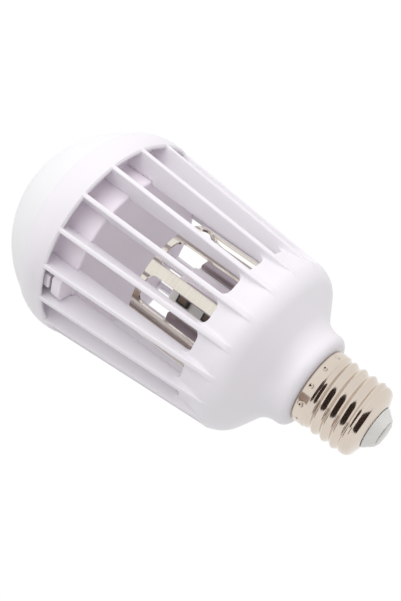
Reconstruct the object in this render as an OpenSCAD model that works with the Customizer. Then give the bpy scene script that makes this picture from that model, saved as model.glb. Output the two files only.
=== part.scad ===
// Insect killer light bulb: a white LED lamp head on a finned cage that
// holds a charged grid and ultraviolet LEDs, on an Edison screw cap.
// Millimetres. The origin is the centre of the screw cap's rim, and +Z runs
// along the bulb's axis to the cap's tip, so the dome points down.

/* [Screw cap] */
// Radius of the plain collar of the screw shell
cap_r = 13.2; // [13:0.05:13.3]
// Height of the plain collar
collar_h = 4.4; // [4:0.1:5]
// Height of the whole metal shell
shell_h = 22.6; // [22:0.1:23.5]
// Thread pitch
pitch = 3.62; // [3.5:0.01:3.7]
// Thread crest radius
crest_r = 13.1; // [12.9:0.05:13.15]
// Thread root radius
root_r = 12.1; // [12:0.05:12.3]
// Wall of the collar
shell_wall = 0.4; // [0.3:0.05:0.6]
// Number of crimp marks round the collar
crimps = 12; // [8:1:16]
// Angle of the first crimp mark in degrees
crimp_turn = 3; // [0:1:15]
// Radius of the insulator where it leaves the shell
insulator_r = 7.4; // [7:0.1:8]
// Radius of the insulator at its tip
insulator_tip_r = 4.9; // [4.6:0.1:5.5]
// Height of the cone of the insulator
insulator_h = 3.4; // [3:0.1:4]
// Radius of the centre contact
contact_r = 4.1; // [3.5:0.1:4.4]
// Height of the contact above the insulator
contact_h = 0.6; // [0.4:0.1:1]

/* [Cage housing] */
// Number of fins
fins = 18; // [16:1:20]
// Distance from the cap's rim to the collar at the dome end
cage_h = 86.5; // [80:0.5:95]
// Radius across the fins at the dome end
fin_r = 39.2; // [38.5:0.1:39.4]
// Radius across the fins where they meet the shoulder
fin_shoulder_r = 32.6; // [32:0.1:33.5]
// Thickness of a fin at its outer edge
fin_tip_t = 1.6; // [1.2:0.1:2]
// Thickness of a fin at its inner edge
fin_root_t = 2.3; // [1.8:0.1:2.6]
// Distance from the cap's rim to the end of the slots
slot_end = 31; // [30:0.5:34]
// Width of a slot
slot_w = 7.6; // [6:0.2:8]
// Corner radius at the end of a slot
slot_corner = 2.8; // [1:0.2:3]
// Radius of the shoulder
shoulder_r = 32.2; // [31.5:0.1:33]
// Distance from the cap's rim to the side of the shoulder
shoulder_h = 22; // [21:0.5:24]
// Radius of the bend round the shoulder
shoulder_bend = 8.5; // [7:0.5:10]
// Slope of the shoulder's cone in degrees
shoulder_slope = 32; // [28:1:36]
// Radius of the neck
neck_r = 17.2; // [16.5:0.1:18]
// Rounding at the end of the neck
neck_bend = 3; // [2:0.5:3.5]
// Bend between the neck and the shoulder
neck_fillet = 5; // [4:0.5:6]
// Wall of the housing
wall = 2; // [1.6:0.1:2.4]
// Radius inside the fins at the slot end
chamber_r = 28.5; // [28:0.1:29]
// Greatest radius of the collar that holds the dome
rim_r = 39.8; // [39.5:0.1:40.5]
// Wall of that collar where it is widest
rim_wall = 2.3; // [2:0.1:2.5]
// Width of the ledge between that collar and the inside of the fins
head_ledge = 6.5; // [6:0.1:7]
// Height of that collar
rim_h = 11.5; // [11:0.5:12.5]

/* [Lamp head] */
// Outside radius of the dome's sphere
dome_r = 39.4; // [38.5:0.1:40]
// Wall of the dome
dome_wall = 1.6; // [1.2:0.1:2]
// Height of the head's drum above its flange
drum_h = 11.5; // [10:0.5:12]
// Depth of the flange below the collar's rim
flange_drop = 4.5; // [4:0.5:5]
// Thickness of the flange and the drum's floor
head_wall = 1.6; // [1.4:0.1:2]
// Thickness of the aluminium plate
plate_t = 1.5; // [1:0.1:2]
// Gap between the edge of the LED board and the collar
board_gap = 3.5; // [2.5:0.1:7]
// Thickness of the LED board
board_t = 1.2; // [1:0.1:1.6]
// White LEDs in the outer ring
outer_leds = 16; // [12:1:20]
// White LEDs in the inner ring
inner_leds = 8; // [6:1:10]

/* [Grid and ultraviolet lamp] */
// Number of bars in each grid
bars = 9; // [8:1:10]
// Gap between the wire conduit and the outer grid
grid_gap = 1.4; // [1.3:0.1:2]
// Distance between the outsides of the two grids
grid_spacing = 4.7; // [4.5:0.1:5.2]
// Thickness of the grid sheet
sheet = 0.6; // [0.5:0.05:0.8]
// Distance from the cap's rim to the end of the outer grid
grid_end = 62.6; // [60:0.2:66]
// Distance from the cap's rim to the free ends of the inner grid
inner_grid_end = 50.5; // [48:0.5:54]
// Width of a bar of the outer grid
bar_w = 4.2; // [3.5:0.1:5]
// Width of a bar of the inner grid
inner_bar_w = 5; // [4:0.1:5.5]
// Height of the closed ring at the end of the outer grid
ring_h = 2.2; // [1.8:0.1:3]
// Distance from the cap's rim to the face of the carrier plate
carrier_z = 29; // [28.5:0.5:30.5]
// Thickness of the carrier plate
carrier_t = 2.5; // [2:0.1:3]
// Distance across the flats of the ultraviolet lamp's post
post_w = 15; // [13:0.5:16]
// Distance from the cap's rim to the end of the post
post_end = 57; // [54:0.5:60]
// Width of an ultraviolet LED board
uv_board_w = 7; // [6:0.2:8]
// Thickness of an ultraviolet LED board
uv_board_t = 1; // [0.8:0.1:1.2]
// Width of an ultraviolet LED
uv_led_w = 5; // [4:0.1:5.4]
// Thickness of an ultraviolet LED
uv_led_t = 1.6; // [1.2:0.1:2]
// Outside radius of the wire conduit
conduit_r = 2.3; // [2:0.1:2.5]

/* [Driver] */
// Width of the driver board in the shoulder
driver_w = 40; // [36:0.5:42]
// Thickness of the driver board
driver_t = 1.6; // [1.2:0.1:1.6]

/* [Hidden] */

// Gap between two seated pieces
fit = 0.1;
// Reach of a cutting tool past the face it cuts
over = 1;
fin_step = 360 / fins;
bar_step = 360 / bars;
collar_z = -cage_h;
drum_face_z = collar_z - flange_drop + drum_h;
flange_z = collar_z - flange_drop;
plate_z = flange_z - head_wall;
board_z = plate_z - plate_t;
led_z = board_z - board_t;
rim_end_z = collar_z - rim_h;
rim_in_r = rim_r - rim_wall;
chamber_end_r = rim_in_r - head_ledge;
dome_seat_r = rim_in_r - fit;
// The sphere passes through the collar's mouth, or stands on a flat lip where it is smaller
dome_mouth_r = min(dome_seat_r, dome_r);
dome_centre_z = rim_end_z + sqrt(pow(dome_r, 2) - pow(dome_mouth_r, 2));
spigot_r = cap_r - shell_wall - fit;
spigot_h = collar_h - shell_wall - fit;
spigot_wall = 1.6;
neck_in_r = neck_r - wall - 0.7;
carrier_r = chamber_r - fit;
carrier_back_z = -carrier_z + carrier_t;
step_r = chamber_r - 1.4;
bend_r = shoulder_r - shoulder_bend;
screw_count = 3;
screw_turn = 30;
uv_count = 3;
screw_r = 1.3;
screw_head_r = 2.4;
screw_ring_r = carrier_r - screw_head_r - 0.5;
screw_head_h = 1.4;
carrier_screw_bite = 3.5;
boss_r = 2.9;
boss_h = 9.5;
fin_bite = 0.6;
// Angle of the shoulder's bend over which the fins' ridges fade
fin_fade = 21;
head_screw_bite = 6;
conduit_gap = 0.8;
conduit_ring_r = min(chamber_r, chamber_end_r) - conduit_r - conduit_gap;
conduit_angle = 5 * fin_step;
conduit_wall = 0.8;
rib_h = 2.2;
rib_t = 1.1;
grid_r = conduit_ring_r - conduit_r - grid_gap;
inner_grid_r = grid_r - grid_spacing;
// Height of the sheet that stays whole above the grids' windows
grid_band = 3.2;
post_wall = 1.5;
post_flange_r = inner_grid_r - 6;
post_flange_t = 1.5;
inner_bend = shoulder_bend - 3.5;
driver_neck_w = 2 * (spigot_r - spigot_wall - 0.2);
driver_low_z = carrier_back_z + 2.5;
driver_step_z = -13.5;
driver_high_z = 15;
grid_turn = -12;
latch_turn = -2.5 * fin_step;
board_turn = -75;
wire_r = 0.65;
wire_sides = 8;
led_size = [3.5, 2.8, 0.8];
board_r = rim_in_r - board_gap;
outer_led_r = board_r - 7;
head_screw_ring_r = outer_led_r - 7;
inner_led_r = head_screw_ring_r - 7;
uv_led_first = 4;
uv_led_step = 11;
insulator_sink = 3;
rivet_r = 1.1;
rivet_grip = 4;
capacitor_r = 4.2;
capacitor_h = 13;
core_size = [16, 11, 5];
coil_size = [11, 9, 4];
core_z = -22;
film_size = [6, 7, 7];
film_x = 13;
film_z = -23;
bridge_size = [6, 2.5, 5];
bridge_z = 3;
resistor_r = 1.8;
resistor_h = 9;
resistor_z = -8;
disc_r = 3;
disc_t = 2.2;
disc_z = -18;
disc_step = 8;
grid_wire_x = 11;

// Points of an arc about [r, z] from angle a to angle b
function arc(r, z, rad, a, b, steps = 8) =
    [for (i = [0 : steps])
        let (t = a + (b - a) * i / steps) [r + rad * cos(t), z + rad * sin(t)]];

// Radius of the thread at angle a and height z above the rim
function thread_r(a, z) =
    let (
        mean = (crest_r + root_r) / 2,
        depth = (crest_r - root_r) / 2,
        rise = min(1, max(0, (z - collar_h) / (pitch / 2))),
        fall = min(1, max(0, (shell_h - pitch - z) / (pitch / 2)))
    )
    mean + depth * cos(360 * z / pitch - a) * min(rise, fall);

// Copies of the children turned about the axis
module around(count, start = 0) {
    for (i = [0 : count - 1])
        rotate(start + i * 360 / count) children();
}

// A ring from a list of [r, z] points
module turned(points) {
    rotate_extrude($fn = 96) polygon(points);
}

// Tube standing on z with outside radius r
module tube(r, t, z, h) {
    translate([0, 0, z]) difference() {
        cylinder(r = r, h = h, $fn = 64);
        translate([0, 0, -over]) cylinder(r = r - t, h = h + 2 * over, $fn = 64);
    }
}

// Radial cutter with rounded corners at its upper end, looking along +X
module slot_cutter(w, z_low, z_high, corner, r_near, r_far) {
    translate([r_near, 0, 0]) rotate([90, 0, 90]) linear_extrude(r_far - r_near)
        polygon(concat(
            [[-w / 2, z_low], [w / 2, z_low]],
            arc(w / 2 - corner, z_high - corner, corner, 0, 90, 5),
            arc(corner - w / 2, z_high - corner, corner, 90, 180, 5)
        ));
}

// Round wire through a list of points
module wire(path) {
    last = len(path) - 1;
    rings = [for (i = [0 : last])
        let (
            d = path[min(i + 1, last)] - path[max(i - 1, 0)],
            f = d / norm(d),
            s = cross(f, abs(f.y) > 0.9 ? [1, 0, 0] : [0, 1, 0]),
            u = s / norm(s),
            v = cross(f, u)
        )
        for (k = [0 : wire_sides - 1])
            path[i] + wire_r * (cos(360 * k / wire_sides) * u + sin(360 * k / wire_sides) * v)];
    walls = [for (i = [0 : last - 1], k = [0 : wire_sides - 1])
        let (a = i * wire_sides + k, b = i * wire_sides + (k + 1) % wire_sides)
        each [[a, a + wire_sides, b], [b, a + wire_sides, b + wire_sides]]];
    caps = [
        [for (k = [0 : wire_sides - 1]) k],
        [for (k = [wire_sides - 1 : -1 : 0]) last * wire_sides + k]
    ];
    polyhedron(rings, concat(walls, caps));
}

// Threaded barrel as a height field over angle and height
module thread_barrel(z_low, z_high, around_n = 40, rows_per_pitch = 8) {
    rows = ceil((z_high - z_low) / pitch * rows_per_pitch);
    points = [for (j = [0 : rows], i = [0 : around_n - 1])
        let (
            a = 360 * i / around_n,
            z = z_low + (z_high - z_low) * j / rows,
            r = thread_r(a, z)
        )
        [r * cos(a), r * sin(a), z]];
    walls = [for (j = [0 : rows - 1], i = [0 : around_n - 1])
        let (p = j * around_n + i, q = j * around_n + (i + 1) % around_n)
        each [[p, p + around_n, q], [q, p + around_n, q + around_n]]];
    caps = [
        [for (i = [0 : around_n - 1]) i],
        [for (i = [around_n - 1 : -1 : 0]) rows * around_n + i]
    ];
    polyhedron(points, concat(walls, caps));
}

// Screw cap: rolled metal shell with a plain collar, a round thread and a
// cone that closes on the insulator
module screw_shell() {
    cone_z = shell_h - pitch;
    bore_r = root_r - shell_wall;
    // the cone stands a little proud of the end of the thread
    cone_r = (crest_r + root_r) / 2 + fit;
    cone_bend = 1.6;
    color("silver") difference() {
        union() {
            cylinder(r = cap_r, h = collar_h, $fn = 96);
            thread_barrel(collar_h - shell_wall / 2, cone_z + shell_wall);
            turned(concat(
                [[0, cone_z], [cone_r, cone_z]],
                arc(cone_r - cone_bend, cone_z + shell_wall, cone_bend, 0, 52),
                [[insulator_r + 0.6, shell_h], [0, shell_h]]
            ));
        }
        translate([0, 0, -over])
            cylinder(r = cap_r - shell_wall, h = over + collar_h - shell_wall, $fn = 96);
        cylinder(r = bore_r, h = cone_z, $fn = 96);
        translate([0, 0, cone_z - fit])
            cylinder(r1 = bore_r, r2 = insulator_r - shell_wall,
                     h = shell_h - cone_z - shell_wall + fit, $fn = 96);
        cylinder(r = insulator_r - shell_wall, h = shell_h + over, $fn = 96);
        around(crimps, crimp_turn)
            translate([cap_r + 0.25, 0, collar_h / 2]) rotate([0, 90, 0])
                cylinder(r = 0.55, h = 1, center = true, $fn = 16);
    }
}

// Insulator between the shell and the centre contact
module base_insulator() {
    neck = insulator_r - shell_wall - fit;
    color("gainsboro") difference() {
        turned([
            [0, shell_h - insulator_sink], [neck, shell_h - insulator_sink], [neck, shell_h],
            [insulator_r, shell_h], [insulator_r, shell_h + 0.5],
            [insulator_tip_r, shell_h + insulator_h], [0, shell_h + insulator_h]
        ]);
        translate([0, 0, shell_h - insulator_sink - over])
            cylinder(r = rivet_r + fit, h = insulator_h + insulator_sink + 2 * over, $fn = 32);
    }
}

// Centre contact: a riveted disc
module centre_contact() {
    tip = shell_h + insulator_h;
    color("silver") {
        translate([0, 0, tip]) cylinder(r = contact_r, h = contact_h, $fn = 48);
        translate([0, 0, shell_h - rivet_grip])
            cylinder(r = rivet_r, h = tip - shell_h + rivet_grip, $fn = 32);
    }
}

// Outer outline of the neck and the shoulder, from the neck's end downwards
function shoulder_outline() =
    let (
        s = shoulder_slope,
        bend_z = -shoulder_h,
        // start of the cone on the shoulder's bend
        cone_r = bend_r + shoulder_bend * sin(s),
        cone_z = bend_z + shoulder_bend * cos(s),
        // the cone climbs inwards until it meets the neck's fillet
        fillet_r = neck_r + neck_fillet,
        fillet_start_r = fillet_r - neck_fillet * sin(s),
        fillet_start_z = cone_z + (cone_r - fillet_start_r) * tan(s),
        fillet_z = fillet_start_z + neck_fillet * cos(s)
    )
    concat(
        arc(neck_r - neck_bend, -neck_bend, neck_bend, 90, 0),
        arc(fillet_r, min(fillet_z, -neck_bend), neck_fillet, 180, 270 - s),
        arc(bend_r, bend_z, shoulder_bend, 90 - s, 0)
    );

// One-piece moulding: neck, shoulder, slotted shell, fins and the collar
// that holds the lamp head
module cage_housing() {
    shell_end_z = -slot_end - slot_corner - 0.4;
    shell_out_r = shoulder_r - 1;
    // the inside of the shoulder's cone lies one wall under the outside
    skin = wall + 0.4;
    cone_r = bend_r + (shoulder_bend - skin) * sin(shoulder_slope);
    cone_z = -shoulder_h + (shoulder_bend - skin) * cos(shoulder_slope);
    bend_top_r = step_r - inner_bend + inner_bend * sin(shoulder_slope);
    bend_top_z = cone_z + (cone_r - bend_top_r) * tan(shoulder_slope);
    inner_bend_z = bend_top_z - inner_bend * cos(shoulder_slope);
    inner_neck_z = cone_z + (cone_r - neck_in_r) * tan(shoulder_slope);
    color("ghostwhite") {
        difference() {
            turned(concat(
                [[spigot_r, 0]],
                shoulder_outline(),
                [
                    [shell_out_r, -slot_end], [shell_out_r, shell_end_z],
                    [chamber_r, shell_end_z], [chamber_r, carrier_back_z],
                    [step_r, carrier_back_z]
                ],
                arc(step_r - inner_bend, inner_bend_z, inner_bend, 0, 90 - shoulder_slope, 6),
                [
                    [neck_in_r, inner_neck_z],
                    [neck_in_r, -neck_bend - wall], [spigot_r - spigot_wall, -wall],
                    [spigot_r - spigot_wall, spigot_h], [spigot_r, spigot_h]
                ]
            ));
            around(fins, fin_step / 2)
                slot_cutter(slot_w, shell_end_z - over, -slot_end, slot_corner,
                            chamber_r - 2 * wall, fin_r);
        }
        around(screw_count, screw_turn) translate([screw_ring_r, 0, carrier_back_z]) difference() {
            cylinder(r = boss_r, h = boss_h, $fn = 32);
            translate([0, 0, -over]) cylinder(r = screw_r, h = over + 4, $fn = 24);
        }
        fin_ring();
        head_collar();
    }
}

// Fins, thinner at the outer edge, trimmed by the cage's inner and outer lines,
// with ridges that fade out over the shoulder's bend
module fin_ring() {
    ridge_h = fin_shoulder_r - shoulder_r;
    reach = max(fin_r, rim_in_r + fin_bite) + over;
    sink = fit / 2;
    steps = 4;
    ridge = [for (i = [0 : steps])
        let (
            a = fin_fade * i / steps,
            r = shoulder_bend + ridge_h - (ridge_h + sink) * i / steps
        )
        [bend_r + r * cos(a), -shoulder_h + r * sin(a)]];
    intersection() {
        translate([0, 0, flange_z]) linear_extrude(cage_h + flange_drop)
            around(fins) polygon([
                [chamber_r - 2 * wall, -fin_root_t / 2], [reach, -fin_tip_t / 2],
                [reach, fin_tip_t / 2], [chamber_r - 2 * wall, fin_root_t / 2]
            ]);
        turned(concat(
            [
                [chamber_end_r, flange_z], [rim_in_r + fin_bite, flange_z],
                [rim_in_r + fin_bite, collar_z - fin_bite], [fin_r, collar_z - fin_bite],
                [fin_r, collar_z]
            ],
            ridge,
            [
                [chamber_r + wall / 2, -shoulder_h], [chamber_r + wall / 2, -slot_end],
                [chamber_end_r, drum_face_z]
            ]
        ));
    }
}

// Collar at the dome end of the cage
module head_collar() {
    turned([
        [rim_in_r, rim_end_z], [rim_in_r + 0.6, rim_end_z],
        [rim_r - 0.9, rim_end_z + 3], [rim_r - 0.2, rim_end_z + 5.5],
        [rim_r, rim_end_z + 7.5], [rim_r - 0.2, rim_end_z + 9.5],
        [rim_r - 0.4, collar_z - 0.5], [rim_r - 0.9, collar_z],
        [rim_in_r, collar_z]
    ]);
}

// Milky dome with a skirt that plugs into the collar
module diffuser_dome() {
    inner = dome_r - dome_wall;
    mouth = asin((dome_centre_z - rim_end_z) / dome_r);
    inner_mouth = asin((dome_centre_z - rim_end_z) / inner);
    skirt_in_r = dome_seat_r - dome_wall;
    lip_z = rim_end_z + dome_wall;
    color("white") turned(concat(
        [[skirt_in_r, board_z], [dome_seat_r, board_z]],
        dome_mouth_r < dome_seat_r ? [[dome_seat_r, rim_end_z]] : [],
        arc(0, dome_centre_z, dome_r, -mouth, -90, 24),
        arc(0, dome_centre_z, inner, -90, -inner_mouth, 24),
        inner < skirt_in_r ? [[inner, lip_z], [skirt_in_r, lip_z]] : []
    ));
}

// Drum that closes the cage and carries the lamp head
module head_drum() {
    drum_r = chamber_end_r - fit;
    color("thistle") difference() {
        union() {
            turned([
                [0, drum_face_z - head_wall], [drum_r - head_wall, drum_face_z - head_wall],
                [drum_r - head_wall, plate_z], [rim_in_r - fit, plate_z],
                [rim_in_r - fit, flange_z], [drum_r, flange_z],
                [drum_r, drum_face_z - 0.4], [drum_r - 0.4, drum_face_z], [0, drum_face_z]
            ]);
            around(screw_count)
                translate([head_screw_ring_r, 0, plate_z])
                    cylinder(r = boss_r, h = drum_face_z - head_wall - plate_z + fit, $fn = 32);
        }
        around(screw_count)
            translate([head_screw_ring_r, 0, plate_z - over])
                cylinder(r = screw_r, h = over + head_screw_bite, $fn = 24);
        rotate(conduit_angle) translate([conduit_ring_r, 0, drum_face_z - head_wall - over])
            cylinder(r = conduit_r - conduit_wall, h = head_wall + 2 * over, $fn = 24);
        // latch windows between two fins
        around(screw_count, latch_turn)
            translate([drum_r - head_wall - over, -2.4, flange_z + 2])
                cube([head_wall + 2 * over, 4.8, 2.6]);
    }
}

// Aluminium plate under the LED board
module heat_plate() {
    color("silver") difference() {
        translate([0, 0, board_z]) cylinder(r = rim_in_r - 2 * fit, h = plate_t, $fn = 96);
        around(screw_count)
            translate([head_screw_ring_r, 0, board_z - over])
                cylinder(r = screw_r + fit, h = plate_t + 2 * over, $fn = 24);
        translate([0, 0, board_z - over]) cylinder(r = 2.5, h = plate_t + 2 * over, $fn = 32);
    }
}

// Board of the white LEDs
module led_board() {
    color("white") difference() {
        translate([0, 0, led_z]) cylinder(r = board_r, h = board_t, $fn = 96);
        around(screw_count)
            translate([head_screw_ring_r, 0, led_z - over])
                cylinder(r = screw_r + fit, h = board_t + 2 * over, $fn = 24);
        translate([0, 0, led_z - over]) cylinder(r = 2.5, h = board_t + 2 * over, $fn = 32);
    }
}

// White LEDs in two rings
module white_leds() {
    color("khaki") {
        around(outer_leds, fin_step / 4)
            translate([outer_led_r - led_size.x / 2, -led_size.y / 2, led_z - led_size.z])
                cube(led_size);
        around(inner_leds, fin_step / 2)
            translate([inner_led_r - led_size.x / 2, -led_size.y / 2, led_z - led_size.z])
                cube(led_size);
    }
}

// Screw with its head at z and its shank towards +Z
module screw(z, bite) {
    translate([0, 0, z - screw_head_h]) cylinder(r = screw_head_r, h = screw_head_h, $fn = 32);
    translate([0, 0, z - fit]) cylinder(r = screw_r, h = bite + fit, $fn = 24);
}

// Screws that hold the LED board and the plate on the drum
module head_screws() {
    color("gray") around(screw_count)
        translate([head_screw_ring_r, 0, 0])
            screw(led_z, board_t + plate_t + head_screw_bite - 0.5);
}

// Carrier plate between the chamber and the driver
module grid_carrier() {
    seat_out = grid_r + fit;
    seat_in = grid_r - sheet - fit;
    inner_out = inner_grid_r + fit;
    inner_in = inner_grid_r - sheet - fit;
    color("lavender") difference() {
        union() {
            translate([0, 0, -carrier_z]) cylinder(r = carrier_r, h = carrier_t, $fn = 96);
            tube(seat_out + rib_t, rib_t, -carrier_z - rib_h, rib_h + fit);
            tube(seat_in, rib_t, -carrier_z - rib_h, rib_h + fit);
            tube(inner_out + rib_t, rib_t, -carrier_z - rib_h, rib_h + fit);
            tube(inner_in, rib_t, -carrier_z - rib_h, rib_h + fit);
        }
        around(screw_count, screw_turn)
            translate([screw_ring_r, 0, -carrier_z - over])
                cylinder(r = screw_r + fit, h = carrier_t + 2 * over, $fn = 24);
        rotate(conduit_angle) translate([conduit_ring_r, 0, -carrier_z - over])
            cylinder(r = conduit_r - conduit_wall, h = carrier_t + 2 * over, $fn = 24);
        translate([0, 0, -carrier_z - over]) cylinder(r = 3, h = carrier_t + 2 * over, $fn = 32);
    }
}

// Screws that hold the carrier plate in the housing
module carrier_screws() {
    color("gray") around(screw_count, screw_turn)
        translate([screw_ring_r, 0, 0]) screw(-carrier_z, carrier_t + carrier_screw_bite);
}

// Outer grid: a stamped and rolled sheet, closed by a ring at the dome end
module grid_outer() {
    gap = 2 * grid_r * sin(bar_step / 2) - bar_w;
    color("silver") difference() {
        tube(grid_r, sheet, -grid_end, grid_end - carrier_z);
        mirror([0, 0, 1]) around(bars, bar_step / 2 + grid_turn)
            slot_cutter(gap, carrier_z + grid_band, grid_end - ring_h, 3, grid_r / 2, grid_r + over);
    }
}

// Inner grid: bars that end free, short of the outer grid's ring
module grid_inner() {
    gap = 2 * inner_grid_r * sin(bar_step / 2) - inner_bar_w;
    color("silver") difference() {
        tube(inner_grid_r, sheet, -inner_grid_end, inner_grid_end - carrier_z);
        around(bars, bar_step / 2 + grid_turn)
            slot_cutter(gap, -inner_grid_end - over, -carrier_z - grid_band, 2,
                        inner_grid_r / 2, inner_grid_r + over);
    }
}

// Hollow six-sided post that carries the ultraviolet boards
module uv_post() {
    corner_r = post_w / 2 / cos(30);
    color("whitesmoke") rotate(board_turn + 30) difference() {
        union() {
            translate([0, 0, -post_end]) cylinder(r = corner_r, h = post_end - carrier_z, $fn = 6);
            translate([0, 0, -carrier_z - post_flange_t])
                cylinder(r = post_flange_r, h = post_flange_t, $fn = 64);
        }
        translate([0, 0, -post_end + post_wall])
            cylinder(r = post_w / 2 - post_wall, h = post_end, $fn = 48);
    }
}

// Three ultraviolet LED boards on alternate faces of the post
module uv_boards() {
    color("white") around(uv_count, board_turn)
        translate([post_w / 2, -uv_board_w / 2, -post_end + 1])
            cube([uv_board_t, uv_board_w, post_end - carrier_z - post_flange_t - 2]);
}

// Ultraviolet LEDs, two on each board
module uv_leds() {
    color("goldenrod") around(uv_count, board_turn)
        for (i = [0, 1])
            translate([post_w / 2 + uv_board_t, -uv_led_w / 2, -post_end + uv_led_first + uv_led_step * i])
                cube([uv_led_t, uv_led_w, uv_led_w]);
}

// Conduit that takes the lamp's wires across the chamber
module wire_conduit() {
    color("whitesmoke") rotate(conduit_angle) translate([conduit_ring_r, 0, 0])
        tube(conduit_r, conduit_wall, drum_face_z, -carrier_z - drum_face_z);
}

// T-shaped driver board
module driver_board() {
    color("seagreen") translate([0, driver_t / 2, 0]) rotate([90, 0, 0]) linear_extrude(driver_t) {
        translate([-driver_w / 2, driver_low_z])
            square([driver_w, driver_step_z - driver_low_z]);
        translate([-driver_neck_w / 2, driver_low_z])
            square([driver_neck_w, driver_high_z - driver_low_z]);
    }
}

// Electrolytic capacitor in the cap
module bulk_capacitor() {
    color("dimgray") translate([0, driver_t / 2 + capacitor_r, 0])
        cylinder(r = capacitor_r, h = capacitor_h, $fn = 48);
}

// Transformer that makes the grid's voltage: core and wound bobbin
module hv_transformer() {
    color("goldenrod") {
        translate([-core_size.x / 2, driver_t / 2, core_z]) cube(core_size);
        translate([-coil_size.x / 2, driver_t / 2 + (core_size.y - coil_size.y) / 2, core_z + core_size.z])
            cube(coil_size);
    }
}

// Two boxed film capacitors
module film_capacitors() {
    color("firebrick") for (side = [-1, 1])
        translate([side * film_x - film_size.x / 2, driver_t / 2, film_z]) cube(film_size);
}

// Bridge rectifier
module bridge_rectifier() {
    color("black") translate([-bridge_size.x / 2, -driver_t / 2 - bridge_size.y, bridge_z])
        cube(bridge_size);
}

// Fusible resistor
module fusible_resistor() {
    color("tan") translate([0, -driver_t / 2 - resistor_r, resistor_z])
        cylinder(r = resistor_r, h = resistor_h, $fn = 32);
}

// Ceramic capacitors of the voltage multiplier
module hv_capacitors() {
    color("royalblue") for (i = [-1.5 : 1.5])
        translate([i * disc_step, -driver_t / 2, disc_z]) rotate([90, 0, 0])
            cylinder(r = disc_r, h = disc_t, $fn = 32);
}

// Lead from the centre contact to the board
module phase_wire() {
    top = shell_h - rivet_grip;
    color("red") wire([[0, 0, top], [0, 0, (top + driver_high_z) / 2], [0, 0, driver_high_z]]);
}

// Lead from the threaded shell to the board
module neutral_wire() {
    turn = 28;
    bore = root_r - shell_wall - wire_r - fit;
    y = driver_t / 2 + wire_r + fit;
    color("black") wire([
        [bore * cos(turn), bore * sin(turn), 13], [bore * cos(turn), bore * sin(turn), 10],
        [bore - 2, y, 8], [bore - 2, y, 4]
    ]);
}

// Leads of the white LEDs, through the conduit to the lamp head
module lamp_wires() {
    color("red") rotate(conduit_angle - 90) wire([
        [0, driver_t / 2 + wire_r + fit, driver_low_z + 0.5], [0, 12, driver_low_z - 0.5],
        [0, conduit_ring_r - 1.2, driver_low_z - 1.2], [0, conduit_ring_r, carrier_back_z - 1],
        [0, conduit_ring_r, -60], [0, conduit_ring_r, drum_face_z - 5],
        [0, 14, flange_z + 3.5], [0, 2, flange_z + 1], [0, 0, plate_z], [0, 0, led_z - 0.6]
    ]);
}

// Leads from the board to the back of the carrier plate
module grid_wires() {
    y = driver_t / 2 + wire_r + fit;
    color("blue") for (side = [-1, 1])
        wire([[side * grid_wire_x, -y, driver_low_z + 2], [side * grid_wire_x, -4, driver_low_z - 0.5],
              [side * (grid_wire_x + 3), -8, carrier_back_z + wire_r + fit]]);
}

screw_shell();
base_insulator();
centre_contact();
cage_housing();
diffuser_dome();
head_drum();
heat_plate();
led_board();
white_leds();
head_screws();
grid_carrier();
carrier_screws();
grid_outer();
grid_inner();
uv_post();
uv_boards();
uv_leds();
wire_conduit();
driver_board();
bulk_capacitor();
hv_transformer();
film_capacitors();
bridge_rectifier();
fusible_resistor();
hv_capacitors();
phase_wire();
neutral_wire();
lamp_wires();
grid_wires();
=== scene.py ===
"""Insect killer light bulb: the looks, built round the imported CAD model.

Lengths in the classes are millimetres in the CAD frame. The origin is the centre of
the screw cap's rim, +Z runs along the bulb's axis to the cap's tip, and the dome
points down. Every finished mesh is written in metres.
"""

from __future__ import annotations

import logging
import math
from dataclasses import dataclass, field
from enum import Enum
from typing import Iterable, Sequence

import bmesh
import bpy
import numpy as np
from mathutils import Matrix, Vector

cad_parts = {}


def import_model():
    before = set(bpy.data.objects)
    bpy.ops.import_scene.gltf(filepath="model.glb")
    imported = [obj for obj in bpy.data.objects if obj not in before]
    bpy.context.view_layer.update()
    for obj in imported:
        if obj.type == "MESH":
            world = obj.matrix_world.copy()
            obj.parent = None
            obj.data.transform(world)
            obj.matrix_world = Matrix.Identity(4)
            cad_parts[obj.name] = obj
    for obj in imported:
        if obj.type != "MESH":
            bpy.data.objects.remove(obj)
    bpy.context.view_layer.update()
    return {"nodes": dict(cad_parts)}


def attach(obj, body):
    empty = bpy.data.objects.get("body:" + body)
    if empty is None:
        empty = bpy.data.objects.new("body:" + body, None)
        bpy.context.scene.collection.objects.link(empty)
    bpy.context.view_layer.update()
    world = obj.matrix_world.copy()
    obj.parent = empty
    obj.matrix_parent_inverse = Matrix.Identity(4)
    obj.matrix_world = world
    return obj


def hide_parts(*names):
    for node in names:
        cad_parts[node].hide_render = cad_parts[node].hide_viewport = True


LOG = logging.getLogger("bulb")
MM = 0.001
ROOT = "root"
Point = tuple[float, float, float]
Profile = list[tuple[float, float]]


def linear(hex_colour: str) -> tuple[float, float, float, float]:
    """Turn an sRGB hex colour into linear RGBA.

    Args:
        hex_colour: Colour such as "#F4F1F6".

    Returns:
        Linear red, green, blue and an alpha of 1.
    """
    channels = [int(hex_colour[i : i + 2], 16) / 255 for i in (1, 3, 5)]
    values = [c / 12.92 if c <= 0.04045 else ((c + 0.055) / 1.055) ** 2.4 for c in channels]
    return (values[0], values[1], values[2], 1.0)


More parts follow.
